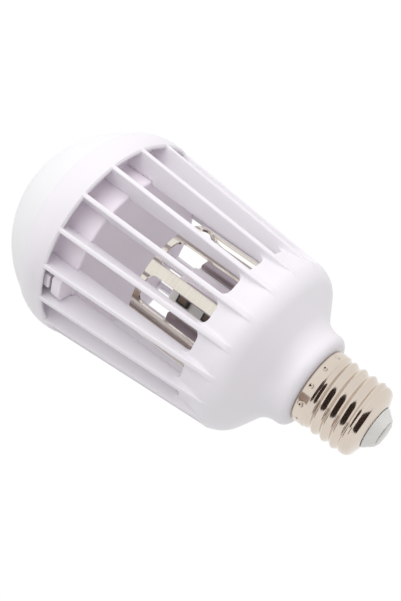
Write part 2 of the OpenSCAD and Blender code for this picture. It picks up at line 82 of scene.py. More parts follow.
def add_node(
    tree: bpy.types.NodeTree,
    kind: str,
    settings: dict[str, object] | None = None,
    inputs: dict[str | int, object] | None = None,
) -> bpy.types.Node:
    """Add a node, set its properties and fill or link its inputs.

    Args:
        tree: Node tree that gets the node.
        kind: Blender's name of the node type.
        settings: Properties of the node.
        inputs: Values, or output sockets to link, by input name or number.

    Returns:
        The new node.
    """
    node = tree.nodes.new(kind)
    for name, value in (settings or {}).items():
        setattr(node, name, value)
    for name, value in (inputs or {}).items():
        socket = node.inputs[name]
        if isinstance(value, bpy.types.NodeSocket):
            tree.links.new(value, socket)
        else:
            socket.default_value = value
    return node


def arc(
    centre: tuple[float, float], radius: float, start: float, end: float, steps: int
) -> Profile:
    """Points of an arc in the plane of radius and height.

    Args:
        centre: Radius and height of the arc's centre.
        radius: Radius of the arc.
        start: First angle in degrees.
        end: Last angle in degrees.
        steps: Number of chords.

    Returns:
        The points, both ends included.
    """
    angles = np.radians(np.linspace(start, end, steps + 1))
    return [
        (centre[0] + radius * math.cos(a), centre[1] + radius * math.sin(a)) for a in angles
    ]


def smooth_step(value: float) -> float:
    """Rise from 0 to 1 without a kink as value goes from 0 to 1."""
    t = min(1.0, max(0.0, value))
    return t * t * (3 - 2 * t)


class MeshDraft:
    """Collects patches and faces in millimetres and turns them into one object."""

    def __init__(self) -> None:
        """Start with no points and no faces."""
        self.points: list[Point] = []
        self.faces: list[tuple[int, ...]] = []

    def patch(self, rows: Sequence[Sequence[Point]], closed: bool = False) -> None:
        """Add a grid of quads.

        Args:
            rows: Rows of points, all of the same length.
            closed: Whether the last column joins the first.
        """
        first = len(self.points)
        width = len(rows[0])
        for row in rows:
            self.points.extend(tuple(map(float, p)) for p in row)
        columns = width if closed else width - 1
        for j in range(len(rows) - 1):
            for i in range(columns):
                a = first + j * width + i
                b = first + j * width + (i + 1) % width
                self.faces.append((a, b, b + width, a + width))

    def face(self, corners: Iterable[Point]) -> None:
        """Add one face with its own corners."""
        first = len(self.points)
        self.points.extend(tuple(map(float, p)) for p in corners)
        self.faces.append(tuple(range(first, len(self.points))))

    def lathe(self, profile: Profile, steps: int = 128, loop: bool = True) -> None:
        """Turn a profile round the axis.

        Args:
            profile: Points of radius and height.
            steps: Number of copies round the axis.
            loop: Whether the last point joins the first.
        """
        outline = profile + profile[:1] if loop else profile
        turns = np.linspace(0, 2 * math.pi, steps, endpoint=False)
        self.patch([[(r * math.cos(t), r * math.sin(t), z) for t in turns] for r, z in outline], True)

    def mirrored(self) -> None:
        """Add a copy of everything on the other side of the XZ plane."""
        first = len(self.points)
        faces = list(self.faces)
        self.points.extend([(x, -y, z) for x, y, z in self.points])
        self.faces.extend(tuple(first + i for i in reversed(f)) for f in faces)

    def build(self, name: str, sharp_deg: float = 40.0) -> bpy.types.Object:
        """Merge the patches into one mesh in metres.

        Args:
            name: Name of the object.
            sharp_deg: Edges that fold by more than this shade as sharp.

        Returns:
            The object, linked to the scene.
        """
        mesh = bpy.data.meshes.new(name)
        mesh.from_pydata([Vector(p) * MM for p in self.points], [], self.faces)
        bm = bmesh.new()
        bm.from_mesh(mesh)
        bmesh.ops.remove_doubles(bm, verts=bm.verts, dist=2e-6)
        bmesh.ops.dissolve_degenerate(bm, edges=bm.edges, dist=1e-6)
        bmesh.ops.recalc_face_normals(bm, faces=bm.faces)
        bm.to_mesh(mesh)
        bm.free()
        mesh.shade_smooth()
        mesh.set_sharp_from_angle(angle=math.radians(sharp_deg))
        obj = bpy.data.objects.new(name, mesh)
        bpy.context.scene.collection.objects.link(obj)
        return obj


def solid_box(draft: MeshDraft, low: Point, high: Point, turn_deg: float = 0.0) -> None:
    """Add a box to a draft, turned about the axis.

    Args:
        draft: Draft that gets the box.
        low: Lowest corner before the turn.
        high: Highest corner before the turn.
        turn_deg: Turn about +Z.
    """
    c, s = math.cos(math.radians(turn_deg)), math.sin(math.radians(turn_deg))
    xs, ys, zs = zip(low, high)
    corner = {
        (i, j, k): (c * xs[i] - s * ys[j], s * xs[i] + c * ys[j], zs[k])
        for i in (0, 1)
        for j in (0, 1)
        for k in (0, 1)
    }
    sides = (
        ((0, 0, 0), (0, 1, 0), (1, 1, 0), (1, 0, 0)),
        ((0, 0, 1), (1, 0, 1), (1, 1, 1), (0, 1, 1)),
        ((0, 0, 0), (1, 0, 0), (1, 0, 1), (0, 0, 1)),
        ((1, 0, 0), (1, 1, 0), (1, 1, 1), (1, 0, 1)),
        ((1, 1, 0), (0, 1, 0), (0, 1, 1), (1, 1, 1)),
        ((0, 1, 0), (0, 0, 0), (0, 0, 1), (0, 1, 1)),
    )
    for side in sides:
        draft.face([corner[key] for key in side])


def finish_with(obj: bpy.types.Object, *modifiers: tuple[str, dict[str, object]]) -> bpy.types.Object:
    """Apply modifiers to an object and keep the result as its plain mesh.

    Args:
        obj: Object to change.
        modifiers: Type and settings of each modifier, in order.

    Returns:
        The same object.
    """
    for kind, settings in modifiers:
        modifier = obj.modifiers.new(kind.lower(), kind)
        for key, value in settings.items():
            setattr(modifier, key, value)
    evaluated = obj.evaluated_get(bpy.context.evaluated_depsgraph_get())
    mesh = bpy.data.meshes.new_from_object(evaluated)
    obj.modifiers.clear()
    obj.data = mesh
    return obj


BEVEL = "BEVEL"
SOLIDIFY = "SOLIDIFY"


def bevel(width_mm: float, segments: int = 2, angle_deg: float = 40.0) -> tuple[str, dict[str, object]]:
    """Settings of a bevel on edges that fold by more than an angle."""
    return BEVEL, {
        "width": width_mm * MM,
        "segments": segments,
        "limit_method": "ANGLE",
        "angle_limit": math.radians(angle_deg),
        "harden_normals": True,
    }


class AroundAxis:
    """Geometry Nodes tree that sets copies of a mesh round the bulb's axis."""

    def __init__(self) -> None:
        """Build the tree with named inputs."""
        tree = bpy.data.node_groups.new("copies_around_axis", "GeometryNodeTree")
        sockets = (
            ("Geometry", "INPUT", "NodeSocketGeometry"),
            ("Count", "INPUT", "NodeSocketInt"),
            ("First turn", "INPUT", "NodeSocketFloat"),
            ("Seam width", "INPUT", "NodeSocketFloat"),
            ("Finish", "INPUT", "NodeSocketMaterial"),
            ("Geometry", "OUTPUT", "NodeSocketGeometry"),
        )
        for name, way, kind in sockets:
            tree.interface.new_socket(name=name, in_out=way, socket_type=kind)
        given = add_node(tree, "NodeGroupInput").outputs
        step = add_node(
            tree, "ShaderNodeMath", {"operation": "DIVIDE"}, {0: math.tau, 1: given["Count"]}
        )
        index = add_node(tree, "GeometryNodeInputIndex")
        turn = add_node(
            tree,
            "ShaderNodeMath",
            {"operation": "MULTIPLY_ADD"},
            {0: index.outputs[0], 1: step.outputs[0], 2: given["First turn"]},
        )
        euler = add_node(tree, "ShaderNodeCombineXYZ", inputs={"Z": turn.outputs[0]})
        rotation = add_node(tree, "FunctionNodeEulerToRotation", inputs={0: euler.outputs[0]})
        points = add_node(tree, "GeometryNodePoints", inputs={"Count": given["Count"]})
        copies = add_node(
            tree,
            "GeometryNodeInstanceOnPoints",
            inputs={
                "Points": points.outputs[0],
                "Instance": given["Geometry"],
                "Rotation": rotation.outputs[0],
            },
        )
        real = add_node(tree, "GeometryNodeRealizeInstances", inputs={0: copies.outputs[0]})
        merged = add_node(
            tree,
            "GeometryNodeMergeByDistance",
            inputs={"Geometry": real.outputs[0], "Distance": given["Seam width"]},
        )
        dressed = add_node(
            tree,
            "GeometryNodeSetMaterial",
            inputs={"Geometry": merged.outputs[0], "Material": given["Finish"]},
        )
        add_node(tree, "NodeGroupOutput", inputs={"Geometry": dressed.outputs[0]})
        self.tree = tree

    def apply(
        self,
        obj: bpy.types.Object,
        count: int,
        finish: bpy.types.Material,
        first_deg: float = 0.0,
        seam_mm: float = 0.002,
    ) -> bpy.types.Object:
        """Replace an object's mesh by copies of it round the axis.

        Args:
            obj: Object that holds one copy.
            count: Number of copies.
            finish: Material of the copies.
            first_deg: Angle of the first copy.
            seam_mm: Points closer than this are merged.

        Returns:
            The same object with a plain mesh.
        """
        modifier = obj.modifiers.new("copies", "NODES")
        modifier.node_group = self.tree
        values = {
            "Count": count,
            "First turn": math.radians(first_deg),
            "Seam width": seam_mm * MM,
            "Finish": finish,
        }
        for item in self.tree.interface.items_tree:
            if item.in_out == "INPUT" and item.name in values:
                modifier[item.identifier] = values[item.name]
        evaluated = obj.evaluated_get(bpy.context.evaluated_depsgraph_get())
        mesh = bpy.data.meshes.new_from_object(evaluated)
        obj.modifiers.clear()
        obj.data = mesh
        return obj


@dataclass(frozen=True)
class MouldedPlastic:
    """Injection-moulded ABS: an even satin skin with a very fine mould texture."""

    name: str
    colour: str
    shade: str
    roughness: float = 0.38
    grain_mm: float = 0.35
    bump: float = 0.04
    coat: float = 0.12

    def build(self) -> bpy.types.Material:
        """Make the material."""
        material = bpy.data.materials.new(self.name)
        material.use_nodes = True
        tree = material.node_tree
        shader = tree.nodes["Principled BSDF"]
        place = add_node(tree, "ShaderNodeTexCoord").outputs["Object"]
        # flow of the resin: colour that drifts a little over some centimetres
        drift = add_node(tree, "ShaderNodeTexNoise", inputs={"Vector": place, "Scale": 45.0, "Detail": 2.0})
        colour = add_node(
            tree,
            "ShaderNodeMix",
            {"data_type": "RGBA"},
            {"Factor": drift.outputs["Fac"], 6: linear(self.colour), 7: linear(self.shade)},
        )
        grain = add_node(
            tree,
            "ShaderNodeTexNoise",
            inputs={"Vector": place, "Scale": 1.0 / (self.grain_mm * MM), "Detail": 2.0},
        )
        rough = add_node(
            tree,
            "ShaderNodeMapRange",
            inputs={
                "Value": grain.outputs["Fac"],
                "To Min": self.roughness - 0.04,
                "To Max": self.roughness + 0.06,
            },
        )
        relief = add_node(
            tree,
            "ShaderNodeBump",
            inputs={"Strength": self.bump, "Distance": 0.00005, "Height": grain.outputs["Fac"]},
        )
        tree.links.new(colour.outputs[2], shader.inputs["Base Color"])
        tree.links.new(rough.outputs[0], shader.inputs["Roughness"])
        tree.links.new(relief.outputs[0], shader.inputs["Normal"])
        shader.inputs["IOR"].default_value = 1.53
        shader.inputs["Coat Weight"].default_value = self.coat
        shader.inputs["Coat Roughness"].default_value = 0.2
        return material


@dataclass(frozen=True)
class PlatedMetal:
    """Rolled sheet with a bright plate: mirror-like, with faint marks of rolling."""

    name: str
    colour: str
    stain: str
    roughness: float = 0.1
    mark_mm: float = 0.5
    stretch: float = 12.0
    relief: float = 0.06

    def build(self) -> bpy.types.Material:
        """Make the material."""
        material = bpy.data.materials.new(self.name)
        material.use_nodes = True
        tree = material.node_tree
        shader = tree.nodes["Principled BSDF"]
        place = add_node(tree, "ShaderNodeTexCoord").outputs["Object"]
        # rolling marks run round the axis, so they are long across Z
        stretched = add_node(
            tree,
            "ShaderNodeMapping",
            inputs={"Vector": place, "Scale": (1.0, 1.0, self.stretch)},
        )
        marks = add_node(
            tree,
            "ShaderNodeTexNoise",
            inputs={"Vector": stretched.outputs[0], "Scale": 1.0 / (self.mark_mm * self.stretch * MM), "Detail": 3.0},
        )
        cloud = add_node(tree, "ShaderNodeTexNoise", inputs={"Vector": place, "Scale": 160.0, "Detail": 3.0})
        blotch = add_node(
            tree,
            "ShaderNodeMath",
            {"operation": "MULTIPLY"},
            {0: cloud.outputs["Fac"], 1: marks.outputs["Fac"]},
        )
        colour = add_node(
            tree,
            "ShaderNodeMix",
            {"data_type": "RGBA"},
            {"Factor": blotch.outputs[0], 6: linear(self.colour), 7: linear(self.stain)},
        )
        rough = add_node(
            tree,
            "ShaderNodeMapRange",
            inputs={
                "Value": marks.outputs["Fac"],
                "To Min": self.roughness * 0.7,
                "To Max": self.roughness * 1.5,
            },
        )
        relief = add_node(
            tree,
            "ShaderNodeBump",
            inputs={"Strength": self.relief, "Distance": 0.00002, "Height": marks.outputs["Fac"]},
        )
        tree.links.new(colour.outputs[2], shader.inputs["Base Color"])
        tree.links.new(rough.outputs[0], shader.inputs["Roughness"])
        tree.links.new(relief.outputs[0], shader.inputs["Normal"])
        shader.inputs["Metallic"].default_value = 1.0
        return material


class Part(Enum):
    """Names of the finishes that the pieces choose from."""

    HOUSING = "moulded_abs_white"
    # a lavender-white plastic, made paler than the housing's: painted light for the shaded chamber
    DRUM = "moulded_abs_lavender_white_painted_light"
    DIFFUSER = "milky_polycarbonate"
    CAP = "nickel_plated_steel"
    GRID = "nickel_plated_sheet"
    # the inner bars' darker purple-grey colour is painted shade; only their satin roughness is the metal's own
    GRID_INNER = "satin_nickel_painted_shade"
    INSULATOR = "glazed_insulator_grey"
    CONTACT = "tinned_brass"
    BOARD_WHITE = "white_solder_mask"
    EMITTER = "clear_resin_on_dark_frame"
    EMITTER_FRAME = "black_moulded_frame"
    PHOSPHOR = "phosphor_in_clear_resin"
    ALUMINIUM = "pressed_aluminium"
    SCREW = "zinc_plated_steel"
    BOARD_GREEN = "green_solder_mask"
    SLEEVE = "shrunk_plastic_sleeve"
    WINDING = "taped_winding"
    FILM_BOX = "moulded_red_box"
    RESISTOR = "coated_ceramic"
    DISC = "dipped_ceramic"
    WIRE_RED = "red_silicone_wire"
    WIRE_BLACK = "black_silicone_wire"
    BODY_BLACK = "black_moulded_body"


class Finishes:
    """Builds each finish once."""

    def __init__(self) -> None:
        """Describe the finishes."""
        plastic = MouldedPlastic
        metal = PlatedMetal
        self.recipes: dict[Part, MouldedPlastic | PlatedMetal] = {
            # the real shell is a white with a breath of lavender that deepens in the shade
            Part.HOUSING: plastic(Part.HOUSING.value, "#F5F1F6", "#F1EDF3"),
            # painted light: the drum and the other parts inside the chamber get a paler copy of the housing's
            # lavender white, which brightens the shaded chamber
            Part.DRUM: plastic(Part.DRUM.value, "#FAF2FA", "#F6EDF7", roughness=0.45),
            Part.DIFFUSER: plastic(Part.DIFFUSER.value, "#F5F4F6", "#F2F1F3", roughness=0.42, bump=0.02),
            Part.CAP: metal(Part.CAP.value, "#DDD1C5", "#D0C3B6", roughness=0.12),
            Part.GRID: metal(Part.GRID.value, "#EAE4DA", "#C9C1B4", roughness=0.1),
            # painted shade: the inner bars get a darker, purple-grey copy of the nickel that stands in for the shade
            # deep in the cage; the higher roughness is a real satin finish
            Part.GRID_INNER: metal(Part.GRID_INNER.value, "#B3A7B0", "#A1959E", roughness=0.3, relief=0.01),
            Part.INSULATOR: plastic(Part.INSULATOR.value, "#EAE9E6", "#E5E4E1", roughness=0.3, bump=0.02),
            Part.CONTACT: metal(Part.CONTACT.value, "#DEDCD8", "#D2D0CC", roughness=0.42),
            Part.BOARD_WHITE: plastic(Part.BOARD_WHITE.value, "#ECEBE6", "#E4E3DE", roughness=0.5),
            Part.EMITTER: plastic(Part.EMITTER.value, "#7A6350", "#54402F", roughness=0.15),
            Part.EMITTER_FRAME: plastic(Part.EMITTER_FRAME.value, "#2B2728", "#1F1B1C", roughness=0.4),
            Part.PHOSPHOR: plastic(Part.PHOSPHOR.value, "#E3CF6A", "#D9C25A", roughness=0.25),
            Part.ALUMINIUM: metal(Part.ALUMINIUM.value, "#D4D5D6", "#C6C7C9", roughness=0.35),
            Part.SCREW: metal(Part.SCREW.value, "#B9BABC", "#9FA0A3", roughness=0.3),
            Part.BOARD_GREEN: plastic(Part.BOARD_GREEN.value, "#2C6B43", "#245A38", roughness=0.4),
            Part.SLEEVE: plastic(Part.SLEEVE.value, "#20264A", "#191E3C", roughness=0.25),
            Part.WINDING: plastic(Part.WINDING.value, "#B08A3C", "#8E6A28", roughness=0.4),
            Part.FILM_BOX: plastic(Part.FILM_BOX.value, "#8E2B22", "#7C241C", roughness=0.35),
            Part.RESISTOR: plastic(Part.RESISTOR.value, "#C4AE88", "#B19A74", roughness=0.5),
            Part.DISC: plastic(Part.DISC.value, "#2F5FA8", "#274F8E", roughness=0.35),
            Part.WIRE_RED: plastic(Part.WIRE_RED.value, "#A5201C", "#8E1A17", roughness=0.5),
            Part.WIRE_BLACK: plastic(Part.WIRE_BLACK.value, "#232324", "#1B1B1C", roughness=0.5),
            Part.BODY_BLACK: plastic(Part.BODY_BLACK.value, "#262627", "#1D1D1E", roughness=0.5),
        }
        self.made: dict[Part, bpy.types.Material] = {}

    def get(self, part: Part) -> bpy.types.Material:
        """Return a finish, and build it at its first use."""
        if part not in self.made:
            self.made[part] = self.recipes[part].build()
        return self.made[part]


@dataclass
class Workshop:
    """What every sub-assembly needs: the finishes, the ring tree and the rules on riding."""

    finishes: Finishes
    around: AroundAxis

    def dress(self, obj: bpy.types.Object, part: Part) -> bpy.types.Object:
        """Give an object one finish."""
        obj.data.materials.clear()
        obj.data.materials.append(self.finishes.get(part))
        return obj

    def hand_over(self, obj: bpy.types.Object, node: str | None, slot: str) -> bpy.types.Object:
        """Make a finished piece ride on the bulb and stand for its CAD node.

        Args:
            obj: Finished piece.
            node: CAD node that it stands for, if any.
            slot: Not used.

        Returns:
            The same object.
        """
        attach(obj, ROOT)
        if node:
            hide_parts(node)
        LOG.info("%s: %d faces", obj.name, len(obj.data.polygons))
        return obj


@dataclass
class CageHousing:
    """Neck, shoulder, slotted shell, fins and dome collar, moulded in one piece."""

    shop: Workshop
    fins: int = 18
    collar_z: float = -86.5
    flange_z: float = -91.0
    drum_face_z: float = -79.5
    rim_end_z: float = -98.0
    slot_z: float = -31.0
    slot_corner: float = 2.8
    patch_top_z: float = -28.0
    shoulder_z: float = -22.0
    fade_end_z: float = -18.6
    fin_r: float = 39.2
    fin_shoulder_r: float = 32.6
    shoulder_r: float = 32.2
    shell_r: float = 31.2
    chamber_r: float = 28.5
    chamber_end_r: float = 31.0
    overhang_r: float = 29.6
    notch_gap: float = 0.15
    rim_in_r: float = 37.5
    rim_round: float = 0.9
    shoulder_bend: float = 8.5
    shoulder_slope: float = 32.0
    neck_r: float = 17.2
    neck_bend: float = 3.0
    neck_fillet: float = 8.0
    tip_round: float = 0.45
    base_round: float = 0.9
    inner_round: float = 0.45
    slot_edge: float = 0.35
    tip_half: float = 0.8
    root_half: float = 1.15
    arc_steps: int = 3
    gap_steps: int = 8

    @property
    def corner_z(self) -> float:
        """Height at which a slot's rounded corner starts."""
        return self.slot_z - self.slot_corner

    def half_thickness(self, r: float) -> float:
        """Half the thickness of a fin at radius r, with the draft of the mould."""
        inner, outer = self.chamber_r - 4, self.fin_r + 1
        return self.root_half + (self.tip_half - self.root_half) * (r - inner) / (outer - inner)

    def shell_radius(self, z: float) -> float:
        """Outside radius of the slotted shell at height z."""
        share = (z - self.patch_top_z) / (self.shoulder_z - self.patch_top_z)
        return self.shell_r + (self.shoulder_r - self.shell_r) * min(1.0, max(0.0, share))

    def fin_radius(self, z: float) -> float:
        """Radius of the fins' outer edge at height z, below the shoulder."""
        share = (z - self.collar_z) / (self.shoulder_z - self.collar_z)
        return self.fin_r + (self.fin_shoulder_r - self.fin_r) * share

    def inner_radius(self, z: float) -> float:
        """Radius of the fins' inner edge at height z."""
        if z < self.drum_face_z + self.notch_gap:
            return self.chamber_end_r
        share = min(1.0, (z - self.drum_face_z) / (self.corner_z - self.drum_face_z))
        return self.overhang_r + (self.chamber_r - self.overhang_r) * share

    def at(self, y: float, r: float, z: float) -> Point:
        """Point at distance r from the axis, y from the fin's middle plane."""
        return (math.sqrt(r * r - y * y), y, z)

    def gap_y(self, r: float) -> float:
        """Distance of the gap's middle from the fin's middle plane at radius r."""
        return r * math.sin(math.pi / self.fins)

    def quarter(self) -> list[float]:
        """Angles of a quarter round, in radians."""
        return [math.radians(90 * i / self.arc_steps) for i in range(self.arc_steps + 1)]

    def tip(self, z: float, r: float, depth: float) -> list[Point]:
        """Outer edge of a fin from its middle to its side.

        Args:
            z: Height.
            r: Radius of the outer edge.
            depth: How far the side reaches inwards.

        Returns:
            The middle and the points of the rounded corner.
        """
        f = min(self.tip_round, 0.45 * depth)
        h = self.half_thickness(r - f)
        return [self.at(0, r, z)] + [
            self.at(h - f + f * math.sin(a), r - f + f * math.cos(a), z) for a in self.quarter()
        ]

    def inner_edge(self, z: float) -> list[Point]:
        """Inner edge of a fin from its middle to its side."""
        r, f = self.inner_radius(z), self.inner_round
        h = self.half_thickness(r + f)
        flat = np.linspace(0, h - f, self.arc_steps + 4)
        corner = [
            self.at(h - f + f * math.sin(a), r + f - f * math.cos(a), z) for a in self.quarter()
        ]
        return [self.at(y, r, z) for y in flat[:-1]] + corner

    def side_columns(self, z: float) -> list[float]:
        """Radii of the columns on a fin's side between its two rounded edges."""
        low_z = max(z, self.collar_z)
        r_in, r_out = self.inner_radius(low_z), self.fin_radius(low_z)
        share = (low_z - self.collar_z) / (self.corner_z - self.collar_z)
        middle_share = (self.shell_r - self.chamber_r) / (
            self.fin_radius(self.corner_z) - self.chamber_r
        )
        middle = r_in + middle_share * (r_out - r_in)
        start = self.rim_in_r + (self.rim_round if z >= self.collar_z else 0.0)
        rim = start + share * (self.fin_radius(self.corner_z) - 1.2 - start)
        low = r_in + self.inner_round + 0.4 * (middle - r_in - self.inner_round)
        return [low, middle - self.slot_edge, middle, rim]

    def fin_row(self, z: float) -> list[Point]:
        """Points of a fin from the middle of its inner edge to the middle of its outer edge."""
        side = [self.at(self.half_thickness(r), r, z) for r in self.side_columns(z)]
        row = self.inner_edge(z) + side
        if z >= self.collar_z:
            r = self.fin_radius(z)
            row += list(reversed(self.tip(z, r, r - self.inner_radius(z))))
        return row

    def slot_curve(self, r: float, offset: Sequence[float]) -> list[tuple[float, float]]:
        """Rounded end of a slot, from the fin's side to the gap's middle.

        Args:
            r: Radius at which the curve lies.
            offset: Distance into the material at each point.

        Returns:
            Distance from the fin's middle plane and height of each point.
        """
        h, c = self.half_thickness(r), self.slot_corner
        turns = self.gap_steps - 2
        curve = []
        for k in range(self.gap_steps + 1):
            a = math.radians(90 * min(1.0, k / turns))
            y = h + c * (1 - math.cos(a))
            if k > turns:
                y += (self.gap_y(r) - y) * (k - turns) / 2
            inwards = math.cos(a) if k <= turns else 0.0
            curve.append((y - offset[k] * inwards, self.corner_z + c * math.sin(a) + offset[k] * math.sin(a)))
        return curve

    def edge_offsets(self) -> list[float]:
        """Rounding of a slot's outer edge, which grows from nothing at the fin."""
        turns = self.gap_steps - 2
        return [self.slot_edge * smooth_step(1.6 * k / turns) for k in range(self.gap_steps + 1)]

    def ridge_row(self, r: float, z: float, height: float) -> list[Point]:
        """Outer surface from a ridge's middle to the gap's middle.

        Args:
            r: Radius of the shell.
            z: Height.
            height: How far the ridge stands out of the shell.

        Returns:
            Points of the ridge, of its concave foot and of the shell.
        """
        foot = min(self.base_round, 0.4 * height)
        crest = r + height
        edge = min(self.tip_round, 0.45 * height)
        top = self.tip(z, crest, height)
        h = self.half_thickness(self.shell_r)
        side = [self.at(h, r + (height - edge + foot) / 2, z)]
        reach = self.base_round
        concave = [
            self.at(h + reach * (1 - math.cos(a)), r + foot * (1 - math.sin(a)), z)
            for a in self.quarter()
        ]
        left = self.gap_steps - self.arc_steps
        start = h + reach
        shell = [
            self.at(start + (self.gap_y(r) - start) * k / left, r, z) for k in range(1, left + 1)
        ]
        return top + side + concave + shell

    def scaled_row(self, row: Sequence[Point], r: float, z: float) -> list[Point]:
        """Row of points at the same angles as another row, at radius r and height z."""
        return [(r * x / math.hypot(x, y), r * y / math.hypot(x, y), z) for x, y, _ in row]

    def shoulder_profile(self) -> Profile:
        """Outer outline from the shoulder up to the neck's end."""
        slope = math.radians(self.shoulder_slope)
        bend_r = self.shoulder_r - self.shoulder_bend
        cone_r = bend_r + self.shoulder_bend * math.sin(slope)
        cone_z = self.shoulder_z + self.shoulder_bend * math.cos(slope)
        fillet_r = self.neck_r + self.neck_fillet
        start_r = fillet_r - self.neck_fillet * math.sin(slope)
        start_z = cone_z + (cone_r - start_r) * math.tan(slope)
        fillet_z = min(start_z + self.neck_fillet * math.cos(slope), -self.neck_bend)
        bend = arc((bend_r, self.shoulder_z), self.shoulder_bend, 0, 90 - self.shoulder_slope, 14)
        fillet = arc((fillet_r, fillet_z), self.neck_fillet, 270 - self.shoulder_slope, 180, 8)
        end = arc((self.neck_r - self.neck_bend, -self.neck_bend), self.neck_bend, 0, 90, 5)
        return bend + fillet + end

    def add_fin(self, draft: MeshDraft) -> None:
        """Add a fin's faces below the slot's end."""
        notch = self.drum_face_z + self.notch_gap
        heights = [self.collar_z, -85.4, -82.5, notch - 0.03, notch + 0.05]
        heights += [-74, -68, -62, -56, -50, -44, -39, -36, self.corner_z]
        draft.patch([self.fin_row(z) for z in heights])
        low = [self.fin_row(z) for z in (self.flange_z, self.flange_z + 2.2, self.collar_z - self.rim_round)]
        low.append(self.fin_row(self.collar_z)[: len(low[0])])
        draft.patch(low)
        draft.face([self.at(self.half_thickness(r), r, z) for r, z in self.rim_edge()])
        wall = self.rim_wall_row(self.flange_z)[: self.arc_steps + 2]
        draft.face(low[0][:-1] + list(reversed(wall)))

    def rim_columns(self, r: float, z: float) -> list[Point]:
        """Points at radius r from a fin's middle to the gap's middle, near the collar."""
        f = self.tip_round
        h = self.half_thickness(r)
        fin = [0.0] + [h - f + f * math.sin(a) for a in self.quarter()]
        gap = [h + (self.gap_y(r) - h) * k / self.gap_steps for k in range(1, self.gap_steps + 1)]
        return [self.at(y, r, z) for y in fin + gap]

    def rim_edge(self) -> Profile:
        """Rounded inner edge of the collar."""
        centre = (self.rim_in_r + self.rim_round, self.collar_z - self.rim_round)
        return arc(centre, self.rim_round, 90, 180, 5)

    def rim_wall_row(self, z: float) -> list[Point]:
        """Row of the collar's inner wall."""
        return self.rim_columns(self.rim_in_r, z)

    def add_collar(self, draft: MeshDraft) -> None:
        """Add the collar that holds the dome."""
        fin_part = self.arc_steps + 2
        top_fin = self.tip(self.collar_z, self.fin_r, self.fin_r - self.chamber_end_r)
        lip_r = self.fin_r - self.tip_round
        top = top_fin + self.rim_columns(lip_r, self.collar_z)[fin_part:]
        profile = [
            (39.33, -86.95), (39.45, -87.5), (39.68, -88.9), (39.8, -90.4), (39.76, -91.8),
            (39.55, -93.3), (39.2, -94.8), (38.72, -96.3), (38.3, -97.4), (38.05, -97.85),
            (37.8, self.rim_end_z), (self.rim_in_r, self.rim_end_z),
        ]
        rows = [top] + [self.rim_columns(r, z) for r, z in profile]
        rows.append(self.rim_wall_row(self.flange_z))
        draft.patch(rows)
        gap_from = fin_part - 1
        inside = [(lip_r, self.collar_z)] + self.rim_edge()
        inside += [(self.rim_in_r, z) for z in (self.flange_z + 2.2, self.flange_z)]
        draft.patch([self.rim_columns(r, z)[gap_from:] for r, z in inside])

    def add_shell(self, draft: MeshDraft) -> None:
        """Add the shell round the slots' ends, the ridges, the shoulder and the neck."""
        heights = (self.corner_z, -32.6, -31.3, -29.8, self.patch_top_z)
        span = self.patch_top_z - self.corner_z
        top_row = self.ridge_row(
            self.shell_radius(self.patch_top_z),
            self.patch_top_z,
            self.fin_radius(self.patch_top_z) - self.shell_radius(self.patch_top_z),
        )
        ridge_count = self.arc_steps + 3
        top_r = self.shell_radius(self.patch_top_z)
        top_foot = math.hypot(*top_row[ridge_count][:2]) - top_r
        edge = self.slot_curve(self.shell_r, self.edge_offsets())
        ridge_rows, shell_rows = [], []
        for z in heights:
            t = (z - self.corner_z) / span
            r = self.shell_radius(z)
            foot = top_foot * smooth_step(t)
            crest = self.fin_radius(z)
            h = self.half_thickness(self.shell_r)
            top = self.tip(z, crest, crest - r)
            rim = self.side_columns(self.corner_z)[3]
            middle = math.hypot(*top_row[ridge_count - 1][:2])
            side_r = rim + (middle - rim) * t
            side = [self.at(self.half_thickness(side_r) * (1 - t) + h * t, side_r, z)]
            ridge_rows.append(top + side + [self.at(h, r + foot, z)])
            row = []
            for k, (y, z_low) in enumerate(edge):
                upper = top_row[ridge_count + k]
                upper_r = math.hypot(upper[0], upper[1])
                z_here = z_low + (self.patch_top_z - z_low) * t
                lift = (upper_r - top_r) * smooth_step(t)
                row.append(self.at(y + (upper[1] - y) * t, self.shell_radius(z_here) + lift, z_here))
            shell_rows.append(row)
        draft.patch(ridge_rows)
        draft.patch(shell_rows)
        rows = [top_row]
        for z in (-26.5, -25.0, -23.5, -22.6):
            r = self.shell_radius(z)
            rows.append(self.ridge_row(r, z, self.fin_radius(z) - r))
        full = self.fin_shoulder_r - self.shoulder_r
        fade = self.fade_end_z - self.shoulder_z
        flat_row: list[Point] = []
        for r, z in self.shoulder_profile():
            height = full * (1 - smooth_step((z - self.shoulder_z) / fade))
            if height > 0:
                flat_row = self.ridge_row(r, z, height)
                rows.append(flat_row)
            else:
                rows.append(self.scaled_row(flat_row, r, z))
        inside = [
            (12.7, 0.0), (12.7, 3.9), (11.1, 3.9), (11.1, -2.0), (14.5, -5.0), (14.5, -13.4),
            (24.0, -18.0), (27.1, -21.5), (27.1, -26.5), (28.5, -26.5), (28.5, -28.6),
        ]
        rows += [self.scaled_row(flat_row, r, z) for r, z in inside]
        draft.patch(rows)
        self.add_slot_wall(draft, rows[-1])

